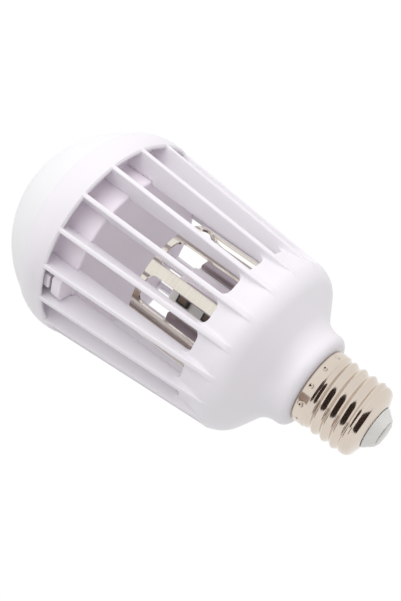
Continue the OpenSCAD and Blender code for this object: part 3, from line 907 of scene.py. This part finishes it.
    def add_slot_wall(self, draft: MeshDraft, inner_top: list[Point]) -> None:
        """Add the wall of a slot's end and the shell's inner surface below the carrier.

        Args:
            draft: Draft that gets the faces.
            inner_top: Row on the inner surface that the patch has to reach.
        """
        count = self.gap_steps + 1
        edge = self.edge_offsets()
        f = self.inner_round
        low, near, _, _ = self.side_columns(self.corner_z)
        rows = []
        for k in range(count):
            outer = [
                (self.shell_r - 0.0 * edge[k], 1.0 * edge[k]),
                (self.shell_r - 0.29 * edge[k], 0.29 * edge[k]),
                (self.shell_r - 0.99 * edge[k], 0.0),
                (near, 0.0),
                (low, 0.0),
            ]
            inner = [
                (self.chamber_r + f - f * math.sin(a), f - f * math.cos(a)) for a in self.quarter()
            ]
            row = []
            for r, offset in outer + inner:
                y, z = self.slot_curve(max(r, self.chamber_r), [offset] * count)[k]
                if r < self.chamber_r + f:
                    near_fin = 1 - max(0, k - self.gap_steps + 2) / 2
                    y += (self.half_thickness(self.chamber_r + f) - self.half_thickness(r)) * near_fin
                row.append(self.at(y, r, z))
            rows.append(row)
        draft.patch(rows)
        flat = self.inner_edge(self.corner_z)[: self.arc_steps + 4]
        lower = flat[:-1] + [row[-1] for row in rows]
        steps = (0.0, 0.3, 0.65, 1.0)
        patch = []
        for t in steps:
            patch.append([
                self.at(a[1] + (b[1] - a[1]) * t, self.chamber_r, a[2] + (b[2] - a[2]) * t)
                for a, b in zip(lower, inner_top)
            ])
        draft.patch(patch)

    def build(self) -> bpy.types.Object:
        """Build one sector and set its copies round the axis."""
        draft = MeshDraft()
        self.add_fin(draft)
        self.add_collar(draft)
        self.add_shell(draft)
        draft.mirrored()
        obj = draft.build("housing", 35)
        self.shop.around.apply(obj, self.fins, self.shop.finishes.get(Part.HOUSING), seam_mm=0.01)
        return self.shop.hand_over(obj, "cage_housing", "housing")


@dataclass
class LampHead:
    """Dome, drum and the lit board at the dome end."""

    shop: Workshop
    dome_r: float = 39.4
    dome_wall: float = 1.6
    rim_in_r: float = 37.5
    rim_end_z: float = -98.0
    board_z: float = -94.1
    drum_r: float = 30.9
    drum_face_z: float = -79.5
    flange_z: float = -91.0
    plate_z: float = -92.6
    wall: float = 1.6
    fit: float = 0.1
    latch_first_deg: float = -50.0
    latch_half_deg: float = 4.5
    latch_low_z: float = -89.0
    latch_high_z: float = -86.4
    cup_half: float = 4.4
    cup_r: float = 36.9
    cup_edge_z: float = -83.9
    cup_top_z: float = -80.0
    cup_wall: float = 0.8
    cup_gap: float = 1.3
    turn_step_deg: float = 1.5

    def dome(self) -> bpy.types.Object:
        """Build the milky dome with the skirt that plugs into the collar."""
        seat_r = self.rim_in_r - self.fit
        rise = math.sqrt(self.dome_r**2 - seat_r**2)
        centre = (0.0, self.rim_end_z + rise)
        inner_r = self.dome_r - self.dome_wall
        mouth = math.degrees(math.asin(rise / self.dome_r))
        inner_mouth = math.degrees(math.asin(rise / inner_r))
        inside = arc(centre, inner_r, -90, -inner_mouth, 30)
        outside = arc(centre, self.dome_r, -mouth, -90, 48)
        profile = [(inside[-1][0], self.board_z), (seat_r, self.board_z)] + outside + inside
        draft = MeshDraft()
        draft.lathe(profile, 144)
        obj = self.shop.dress(draft.build("dome"), Part.DIFFUSER)
        return self.shop.hand_over(obj, "diffuser_dome", "diffuser")

    def drum(self) -> bpy.types.Object:
        """Build the drum with its latch windows between the fins."""
        edge, foot = 0.8, 0.4
        rows = [(0.0, self.drum_face_z), (12.0, self.drum_face_z), (24.0, self.drum_face_z)]
        rows += arc((self.drum_r - edge, self.drum_face_z - edge), edge, 90, 0, 4)
        rows += [(self.drum_r, z) for z in (-82.5, -84.5, self.latch_high_z, self.latch_low_z)]
        rows += arc((self.drum_r + foot, self.flange_z + foot), foot, 180, 270, 3)
        rows += [(34.5, self.flange_z), (self.rim_in_r - self.fit, self.flange_z)]
        rows += [(self.rim_in_r - self.fit, self.plate_z)]
        window_row = rows.index((self.drum_r, self.latch_high_z))
        count = round(360 / self.turn_step_deg)
        turns = [math.radians(self.latch_first_deg + self.turn_step_deg * i) for i in range(count)]
        draft = MeshDraft()
        draft.patch([[(r * math.cos(t), r * math.sin(t), z) for t in turns] for r, z in rows], True)
        third = count // 3
        half = round(self.latch_half_deg / self.turn_step_deg)
        cut = {
            window_row * count + (i + side) % count
            for i in range(0, count, third)
            for side in range(-half, half)
        }
        draft.faces = [f for i, f in enumerate(draft.faces) if i not in cut]
        obj = draft.build("drum")
        for face in obj.data.polygons:
            face.use_smooth = True
        obj = finish_with(
            obj,
            (SOLIDIFY, {"thickness": self.wall * MM, "offset": -1.0, "use_even_offset": True}),
            bevel(0.18, 2, 50),
        )
        self.shop.dress(obj, Part.DRUM)
        return self.shop.hand_over(obj, "head_drum", "drum")

    def latches(self) -> bpy.types.Object:
        """Build the latch cups between the fins, each with its spring tongue."""
        half, low, high = self.cup_half, self.cup_edge_z, self.cup_top_z
        near, far = self.drum_r - 0.4, self.cup_r
        outline = [(near, -half), (far - 1.2, -half), (far, -half + 1.6), (far, half - 1.6), (far - 1.2, half), (near, half)]
        cup = MeshDraft()
        cup.patch([[(x, y, z) for x, y in outline] for z in (low, high)])
        cup.face([(x, y, high) for x, y in outline])
        obj = cup.build("latches", 70)
        finish_with(obj, (SOLIDIFY, {"thickness": self.cup_wall * MM, "offset": -1.0}), bevel(0.35, 3, 50))
        tongue = MeshDraft()
        solid_box(tongue, (far - 3.4, -2.6, self.flange_z + 0.4), (far - 0.2, 2.6, low - self.cup_gap))
        finish_with(tongue.build("latch_tongues"), bevel(0.7, 4))
        drum = self.shop.finishes.get(Part.DRUM)
        for name in ("latches", "latch_tongues"):
            piece = bpy.data.objects[name]
            self.shop.around.apply(piece, 3, drum, self.latch_first_deg)
            self.shop.hand_over(piece, None, "drum")
        return obj


@dataclass
class RolledGrid:
    """Charged grid: a stamped and rolled sheet of bars round the lamp."""

    shop: Workshop
    name: str
    node: str
    outer_r: float
    bar_width: float
    end_z: float
    closed: bool
    finish: Part = Part.GRID
    bars: int = 9
    turn_deg: float = -12.0
    sheet: float = 1.0
    top_z: float = -29.0
    window_top_z: float = -32.2
    ring_height: float = 2.2
    corner: float = 3.0
    steps: int = 8

    def rolled(self, s: float, z: float) -> Point:
        """Point of the flat sheet, s along its length, on the cylinder."""
        a = s / self.outer_r
        return (self.outer_r * math.cos(a), self.outer_r * math.sin(a), z)

    def half_period(self) -> float:
        """Length of sheet from a bar's middle to the next gap's middle."""
        return math.pi * self.outer_r / self.bars

    def window_curve(self, level: float, way: float, corner: float) -> Profile:
        """Rounded end of a window, from the bar's edge to the gap's middle.

        Args:
            level: Height of the window's end.
            way: 1 where the end is the upper one, -1 where it is the lower one.
            corner: Corner radius.

        Returns:
            Points of length along the sheet and height.
        """
        edge = self.bar_width / 2
        turns = self.steps - 2
        points = []
        for k in range(self.steps + 1):
            a = math.radians(90 * min(1.0, k / turns))
            s = edge + corner * (1 - math.cos(a))
            if k > turns:
                s += (self.half_period() - s) * (k - turns) / 2
            points.append((s, level - way * corner * (1 - math.sin(a))))
        return points

    def add_end(self, draft: MeshDraft, level: float, limit: float, way: float, corner: float) -> list[float]:
        """Add the sheet beyond a window's end and return the heights of its rows."""
        curve = self.window_curve(level, way, corner)
        shares = np.linspace(0, 1, 5)
        rows = [[self.rolled(s, z + (limit - z) * t) for s, z in curve] for t in shares]
        draft.patch(rows)
        start = curve[0][1]
        return [start + (limit - start) * t for t in shares]

    def build(self) -> bpy.types.Object:
        """Build one period, set its copies round the axis and give the sheet its thickness."""
        draft = MeshDraft()
        top = self.add_end(draft, self.window_top_z, self.top_z, 1.0, min(self.corner, 2.0))
        edge = self.bar_width / 2
        across = np.linspace(0, edge, 4)
        if self.closed:
            low = self.add_end(draft, self.end_z + self.ring_height, self.end_z, -1.0, self.corner)
            widths = {z: 1.0 for z in low}
        else:
            low = [self.end_z + lift for lift in (1.2, 0.55, 0.2, 0.0)]
            widths = dict(zip(low, (1.0, 0.94, 0.84, 0.62)))
        middle = np.linspace(low[0], top[0], 9)[1:-1]
        heights = list(reversed(low)) + [float(z) for z in middle] + top
        draft.patch([[self.rolled(s * widths.get(z, 1.0), z) for s in across] for z in heights])
        draft.mirrored()
        obj = draft.build(self.name)
        metal = self.shop.finishes.get(self.finish)
        self.shop.around.apply(obj, self.bars, metal, self.turn_deg, seam_mm=0.01)
        obj = finish_with(
            obj,
            (SOLIDIFY, {"thickness": self.sheet * MM, "offset": -1.0}),
            bevel(0.1, 2, 50),
        )
        self.shop.dress(obj, self.finish)
        return self.shop.hand_over(obj, self.node, "grid_metal")


@dataclass
class KillingChamber:
    """Carrier plate, post, ultraviolet boards and conduit inside the cage."""

    shop: Workshop
    carrier_z: float = -29.0
    carrier_back_z: float = -26.5
    carrier_r: float = 28.4
    rib_z: float = -31.2
    post_width: float = 15.0
    post_end_z: float = -57.0
    board_width: float = 7.0
    board_t: float = 1.0
    board_turn_deg: float = -75.0
    board_count: int = 3
    conduit_deg: float = 100.0
    conduit_ring_r: float = 25.4
    conduit_r: float = 2.3
    drum_face_z: float = -79.5

    def carrier(self) -> bpy.types.Object:
        """Build the plate with the four ribs that hold the grids."""
        profile: Profile = [(self.carrier_r, self.carrier_back_z), (self.carrier_r, self.carrier_z)]
        for outer, inner in ((22.9, 21.8), (21.0, 19.9), (18.2, 17.1), (16.3, 15.2)):
            profile += [
                (outer, self.carrier_z), (outer, self.rib_z),
                (inner, self.rib_z), (inner, self.carrier_z),
            ]
        profile += [(3.0, self.carrier_z), (3.0, self.carrier_back_z)]
        draft = MeshDraft()
        draft.lathe(profile, 128)
        obj = self.shop.dress(finish_with(draft.build("carrier"), bevel(0.15)), Part.DRUM)
        return self.shop.hand_over(obj, "grid_carrier", "drum")

    def post(self) -> bpy.types.Object:
        """Build the six-sided post with its round flange."""
        draft = MeshDraft()
        corner_r = self.post_width / 2 / math.cos(math.radians(30))
        flange_z = self.carrier_z - 1.5
        sides = [math.radians(self.board_turn_deg + 30 + 60 * i) for i in range(6)]
        outline = [(corner_r, self.post_end_z), (corner_r, flange_z)]
        inner = self.post_width / 2 - 1.5
        outline += [(inner, flange_z), (inner, self.post_end_z + 1.5)]
        closed = [(0.0, self.post_end_z)] + outline + [(0.0, self.post_end_z + 1.5)]
        draft.patch([[(r * math.cos(t), r * math.sin(t), z) for t in sides] for r, z in closed], True)
        draft.lathe([(11.0, self.carrier_z), (11.0, flange_z), (6.2, flange_z), (6.2, self.carrier_z)], 72)
        obj = self.shop.dress(finish_with(draft.build("post"), bevel(0.4, 3)), Part.DRUM)
        return self.shop.hand_over(obj, "uv_post", "drum")

    def boards(self) -> bpy.types.Object:
        """Build the ultraviolet boards."""
        draft = MeshDraft()
        near = self.post_width / 2
        half = self.board_width / 2
        solid_box(
            draft,
            (near, -half, self.post_end_z + 1),
            (near + self.board_t, half, self.carrier_z - 2.5),
        )
        obj = finish_with(draft.build("uv_board_set"), bevel(0.12))
        white = self.shop.finishes.get(Part.BOARD_WHITE)
        self.shop.around.apply(obj, self.board_count, white, self.board_turn_deg)
        return self.shop.hand_over(obj, "uv_boards", "board_white")

    def emitters(self) -> list[bpy.types.Object]:
        """Build the ultraviolet LEDs: a dark frame with a resin window."""
        near = self.post_width / 2 + self.board_t
        frames, windows = MeshDraft(), MeshDraft()
        for z in (self.post_end_z + 4, self.post_end_z + 15):
            solid_box(frames, (near, -2.5, z), (near + 1.45, 2.5, z + 5))
            solid_box(windows, (near + 1.2, -1.7, z + 0.8), (near + 1.6, 1.7, z + 4.2))
        around = self.shop.around
        dark = finish_with(frames.build("uv_led_frames"), bevel(0.3, 2))
        around.apply(dark, self.board_count, self.shop.finishes.get(Part.EMITTER_FRAME), self.board_turn_deg)
        clear = finish_with(windows.build("uv_led_windows"), bevel(0.3, 3))
        around.apply(clear, self.board_count, self.shop.finishes.get(Part.EMITTER), self.board_turn_deg)
        self.shop.hand_over(dark, "uv_leds", "uv_emitter")
        self.shop.hand_over(clear, None, "uv_emitter")
        return [dark, clear]

    def conduit(self) -> bpy.types.Object:
        """Build the tube that takes the lamp's wires across the chamber."""
        inner = self.conduit_r - 0.8
        z0, z1 = self.drum_face_z, self.carrier_z
        draft = MeshDraft()
        draft.lathe([(self.conduit_r, z0), (self.conduit_r, z1), (inner, z1), (inner, z0)], 32)
        a = math.radians(self.conduit_deg)
        shift = (self.conduit_ring_r * math.cos(a), self.conduit_ring_r * math.sin(a))
        draft.points = [(x + shift[0], y + shift[1], z) for x, y, z in draft.points]
        obj = self.shop.dress(finish_with(draft.build("conduit"), bevel(0.12)), Part.DRUM)
        return self.shop.hand_over(obj, "wire_conduit", "drum")


@dataclass
class ScrewCap:
    """Threaded shell, insulator and centre contact."""

    shop: Workshop
    cap_r: float = 13.2
    collar_h: float = 4.4
    shell_h: float = 22.6
    pitch: float = 3.62
    crest_r: float = 13.1
    root_r: float = 12.1
    wall: float = 0.4
    crimps: int = 12
    crimp_first_deg: float = 3.0
    crimp_r: float = 0.66
    crimp_depth: float = 0.5
    thread_start: float = 0.34
    end_round: float = 2.6
    insulator_r: float = 7.4
    insulator_tip_r: float = 4.9
    insulator_h: float = 3.4
    contact_r: float = 4.1
    contact_h: float = 0.6
    columns: int = 320

    def thread_radius(self, a: float, z: float) -> float:
        """Radius of the rolled thread at angle a and height z.

        Args:
            a: Angle in radians.
            z: Height above the rim.

        Returns:
            Radius of the outside of the shell.
        """
        mean = (self.crest_r + self.root_r) / 2
        depth = (self.crest_r - self.root_r) / 2
        rise = smooth_step((z - self.collar_h) / (self.pitch / 2))
        fall = smooth_step((self.shell_h - self.pitch - z) / (self.pitch / 2))
        wave = math.cos(math.tau * (z / self.pitch - self.thread_start) - a)
        thread = mean + depth * wave * min(rise, fall)
        blend = smooth_step((self.collar_h + 0.25 - z) / 0.5)
        return thread + (self.cap_r - thread) * blend

    def crimp(self, a: float, z: float) -> float:
        """Depth of the punched marks at angle a and height z."""
        step = math.tau / self.crimps
        near = (a - math.radians(self.crimp_first_deg) + step / 2) % step - step / 2
        d = math.hypot(near * self.cap_r, z - self.collar_h / 2) / self.crimp_r
        return self.crimp_depth * (math.exp(-(d**4) * 1.2) - 0.12 * math.exp(-((d - 1.4) ** 2) * 6))

    def shell(self) -> bpy.types.Object:
        """Build the metal shell as a rolled sheet."""
        cone_z = self.shell_h - self.pitch
        heights = list(np.arange(0.0, self.collar_h + 0.3, 0.2)) + list(
            np.arange(self.collar_h + 0.4, cone_z + 0.2, 0.24)
        )
        turns = np.linspace(0, math.tau, self.columns, endpoint=False)
        rows = []
        for z in heights:
            lip = 0.35 * (1 - smooth_step(z / 0.4))
            radii = [self.thread_radius(a, z) - self.crimp(a, z) - lip for a in turns]
            rows.append([(r * math.cos(a), r * math.sin(a), z) for r, a in zip(radii, turns)])
        start = (self.crest_r + self.root_r) / 2
        cone = arc((start - self.end_round + 0.05, heights[-1] + 0.1), self.end_round, 2, 58, 10)
        cone += [(self.insulator_r + 1.4, self.shell_h - 0.42), (self.insulator_r + 0.35, self.shell_h - 0.05)]
        cone += [(self.insulator_r + 0.05, self.shell_h)]
        rows += [[(r * math.cos(a), r * math.sin(a), z) for a in turns] for r, z in cone]
        draft = MeshDraft()
        draft.patch(rows, True)
        obj = draft.build("cap_shell", 60)
        obj = finish_with(obj, (SOLIDIFY, {"thickness": self.wall * MM, "offset": -1.0}))
        self.shop.dress(obj, Part.CAP)
        return self.shop.hand_over(obj, "screw_shell", "cap_metal")

    def insulator(self) -> bpy.types.Object:
        """Build the insulator."""
        neck = self.insulator_r - self.wall - 0.1
        tip_z = self.shell_h + self.insulator_h
        profile = [(1.3, self.shell_h - 3), (neck, self.shell_h - 3), (neck, self.shell_h)]
        profile += [(self.insulator_r - 0.05, self.shell_h), (self.insulator_r, self.shell_h + 0.45)]
        profile += [(self.insulator_tip_r, tip_z), (1.3, tip_z)]
        draft = MeshDraft()
        draft.lathe(profile, 96)
        obj = self.shop.dress(finish_with(draft.build("insulator"), bevel(0.3, 3, 20)), Part.INSULATOR)
        return self.shop.hand_over(obj, "base_insulator", "insulator")

    def contact(self) -> bpy.types.Object:
        """Build the centre contact with its rivet."""
        tip_z = self.shell_h + self.insulator_h
        top = tip_z + self.contact_h
        profile = [(0.0, self.shell_h - 4), (1.1, self.shell_h - 4), (1.1, tip_z), (self.contact_r, tip_z)]
        profile += [(self.contact_r, top - 0.3), (self.contact_r - 0.5, top - 0.06), (0.0, top)]
        draft = MeshDraft()
        draft.lathe(profile, 72)
        obj = self.shop.dress(finish_with(draft.build("contact"), bevel(0.1)), Part.CONTACT)
        return self.shop.hand_over(obj, "centre_contact", "contact")


@dataclass
class HiddenParts:
    """CAD nodes that stay as they are and only get their finishes."""

    shop: Workshop
    nodes: dict[str, bpy.types.Object]
    finishes: dict[str, Part] = field(
        default_factory=lambda: {
            "heat_plate": Part.ALUMINIUM,
            "led_board": Part.BOARD_WHITE,
            "white_leds": Part.PHOSPHOR,
            "head_screws": Part.SCREW,
            "carrier_screws": Part.SCREW,
            "driver_board": Part.BOARD_GREEN,
            "bulk_capacitor": Part.SLEEVE,
            "hv_transformer": Part.WINDING,
            "film_capacitors": Part.FILM_BOX,
            "bridge_rectifier": Part.BODY_BLACK,
            "fusible_resistor": Part.RESISTOR,
            "hv_capacitors": Part.DISC,
            "phase_wire": Part.WIRE_RED,
            "neutral_wire": Part.WIRE_BLACK,
            "lamp_wires": Part.WIRE_RED,
            "grid_wires": Part.WIRE_BLACK,
        }
    )

    def dress(self) -> None:
        """Give each node its finish."""
        for name, part in self.finishes.items():
            self.shop.dress(self.nodes[name], part)


@dataclass(frozen=True)
class Lamp:
    """Soft lamp that points at the bulb's middle.

    The way is given in shares of the camera's right, up and backward directions.
    """

    name: str
    way: Point
    watts: float
    side_m: float


@dataclass(frozen=True)
class Card:
    """Card beside the camera that only the plated metal mirrors."""

    name: str
    way: Point
    side_m: float
    colour: str


@dataclass
class Studio:
    """Camera, lamps, cards, white surround and floor."""

    distance: float = 271.78
    height: float = 61.94
    aim_z: float = -49.31
    azimuth_deg: float = -2.14
    roll_deg: float = 126.11
    lens_mm: float = 51.6
    floor_z: float = -420.0
    lamp_distance: float = 600.0
    card_distance: float = 360.0
    fill_level: float = 0.68
    mirrored_level: float = 0.97
    floor_glow: float = 1.07
    floor_share: float = 0.85
    lamps: tuple[Lamp, ...] = (
        Lamp("key", (-0.25, 0.9, 0.6), 3.1, 0.85),
    )
    cards: tuple[Card, ...] = (
        Card("dark_card", (0.2, -0.35, 0.92), 0.36, "#40302A"),
        Card("far_card", (0.6, -0.6, 0.9), 0.3, "#33251F"),
        Card("warm_card", (-0.82, -0.3, 0.48), 0.16, "#A28B7F"),
        Card("grey_card", (-0.9, -0.43, 0.05), 0.16, "#8A7C7C"),
    )

    def camera_axes(self) -> tuple[Vector, Vector, Vector, Vector]:
        """Place, right, up and forward directions of the camera."""
        turn = Matrix.Rotation(math.radians(self.azimuth_deg), 3, "Z")
        place = turn @ Vector((0, -self.distance, self.height))
        forward = (Vector((0, 0, self.aim_z)) - place).normalized()
        level = forward.cross(Vector((0, 0, 1))).normalized()
        upright = level.cross(forward)
        c, s = math.cos(math.radians(self.roll_deg)), math.sin(math.radians(self.roll_deg))
        return place, c * level + s * upright, -s * level + c * upright, forward

    def camera(self) -> None:
        """Add the camera at the photograph's viewing angle."""
        place, right, up, forward = self.camera_axes()
        data = bpy.data.cameras.new("camera")
        data.lens = self.lens_mm
        data.sensor_width = 36.0
        data.clip_start = 0.01
        obj = bpy.data.objects.new("camera", data)
        axes = Matrix((right, up, -forward)).transposed()
        obj.matrix_world = Matrix.Translation(place * MM) @ axes.to_4x4()
        bpy.context.scene.collection.objects.link(obj)
        bpy.context.scene.camera = obj

    def facing(self, way: Point, distance: float) -> Matrix:
        """Pose of a lamp or card that faces the bulb's middle.

        Args:
            way: Shares of the camera's right, up and backward directions.
            distance: Distance from the bulb's middle.

        Returns:
            Matrix in metres, with +Z away from the bulb.
        """
        _, right, up, forward = self.camera_axes()
        out = (way[0] * right + way[1] * up - way[2] * forward).normalized()
        place = Vector((0, 0, self.aim_z)) + out * distance
        return Matrix.Translation(place * MM) @ out.to_track_quat("Z", "Y").to_matrix().to_4x4()

    def add_lamp(self, lamp: Lamp) -> None:
        """Add a soft lamp."""
        data = bpy.data.lights.new(lamp.name, "AREA")
        data.energy = lamp.watts
        data.size = lamp.side_m
        obj = bpy.data.objects.new(lamp.name, data)
        obj.matrix_world = self.facing(lamp.way, self.lamp_distance)
        # the metal mirrors the plain surround, not the lamp's sharp square
        obj.visible_glossy = False
        bpy.context.scene.collection.objects.link(obj)

    def add_card(self, card: Card) -> None:
        """Add a card that the plated metal mirrors and that casts no shadow."""
        pose = self.facing(card.way, self.card_distance)
        half = card.side_m / 2 / MM
        draft = MeshDraft()
        draft.face([
            tuple(pose @ (Vector((x * half, y * half, 0)) * MM) / MM)
            for x, y in ((-1, -1), (1, -1), (1, 1), (-1, 1))
        ])
        obj = draft.build(card.name)
        material = bpy.data.materials.new(card.name)
        material.use_nodes = True
        shader = material.node_tree.nodes["Principled BSDF"]
        shader.inputs["Base Color"].default_value = linear(card.colour)
        shader.inputs["Roughness"].default_value = 0.9
        obj.data.materials.append(material)
        obj.visible_camera = False
        obj.visible_diffuse = False
        obj.visible_shadow = False

    def world(self) -> None:
        """White surround for the camera and reflections, and a plain soft fill."""
        world = bpy.data.worlds.new("surround")
        world.use_nodes = True
        tree = world.node_tree
        tree.nodes.clear()
        path = add_node(tree, "ShaderNodeLightPath")
        seen = add_node(
            tree,
            "ShaderNodeMath",
            {"operation": "MAXIMUM"},
            {0: path.outputs["Is Camera Ray"], 1: path.outputs["Is Transmission Ray"]},
        )
        plain = (1, 1, 1, 1)
        fill, mirrored, white = (
            add_node(tree, "ShaderNodeBackground", inputs={"Color": plain, "Strength": level}).outputs[0]
            for level in (self.fill_level, self.mirrored_level, 1.0)
        )
        soft = add_node(
            tree, "ShaderNodeMixShader", inputs={0: path.outputs["Is Glossy Ray"], 1: fill, 2: mirrored}
        )
        mix = add_node(
            tree, "ShaderNodeMixShader", inputs={0: seen.outputs[0], 1: soft.outputs[0], 2: white}
        )
        add_node(tree, "ShaderNodeOutputWorld", inputs={"Surface": mix.outputs[0]})
        bpy.context.scene.world = world

    def floor(self) -> None:
        """Pale floor that shows white and keeps a faint shadow."""
        draft = MeshDraft()
        reach = 2500.0
        draft.face([
            (-reach, -reach, self.floor_z), (reach, -reach, self.floor_z),
            (reach, reach, self.floor_z), (-reach, reach, self.floor_z),
        ])
        obj = draft.build("floor")
        material = bpy.data.materials.new("pale_floor")
        material.use_nodes = True
        tree = material.node_tree
        tree.nodes.clear()
        path = add_node(tree, "ShaderNodeLightPath")
        matt = add_node(tree, "ShaderNodeBsdfDiffuse", inputs={"Color": linear("#FAFAFA")})
        glow = add_node(
            tree, "ShaderNodeEmission", inputs={"Color": (1, 1, 1, 1), "Strength": self.floor_glow}
        )
        seen = add_node(
            tree,
            "ShaderNodeMath",
            {"operation": "MAXIMUM"},
            {0: path.outputs["Is Camera Ray"], 1: path.outputs["Is Glossy Ray"]},
        )
        share = add_node(
            tree,
            "ShaderNodeMath",
            {"operation": "MULTIPLY"},
            {0: seen.outputs[0], 1: self.floor_share},
        )
        mix = add_node(
            tree,
            "ShaderNodeMixShader",
            inputs={0: share.outputs[0], 1: matt.outputs[0], 2: glow.outputs[0]},
        )
        add_node(tree, "ShaderNodeOutputMaterial", inputs={"Surface": mix.outputs[0]})
        obj.data.materials.append(material)

    def build(self) -> None:
        """Set the whole studio up."""
        scene = bpy.context.scene
        scene.view_settings.view_transform = "Standard"
        self.camera()
        self.world()
        self.floor()
        for lamp in self.lamps:
            self.add_lamp(lamp)
        for card in self.cards:
            self.add_card(card)


def main() -> None:
    """Build the bulb round the CAD frame."""
    logging.basicConfig(level=logging.INFO, format="%(name)s: %(message)s")
    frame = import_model()
    Studio().build()
    shop = Workshop(Finishes(), AroundAxis())
    CageHousing(shop).build()
    head = LampHead(shop)
    head.dome()
    head.drum()
    head.latches()
    RolledGrid(shop, "outer_bars", "grid_outer", 21.7, 4.2, -62.6, True).build()
    RolledGrid(shop, "inner_bars", "grid_inner", 17.0, 5.0, -50.5, False, Part.GRID_INNER).build()
    chamber = KillingChamber(shop)
    chamber.carrier()
    chamber.post()
    chamber.boards()
    chamber.emitters()
    chamber.conduit()
    cap = ScrewCap(shop)
    cap.shell()
    cap.insulator()
    cap.contact()
    HiddenParts(shop, frame["nodes"]).dress()


if __name__ == "__main__":
    main()
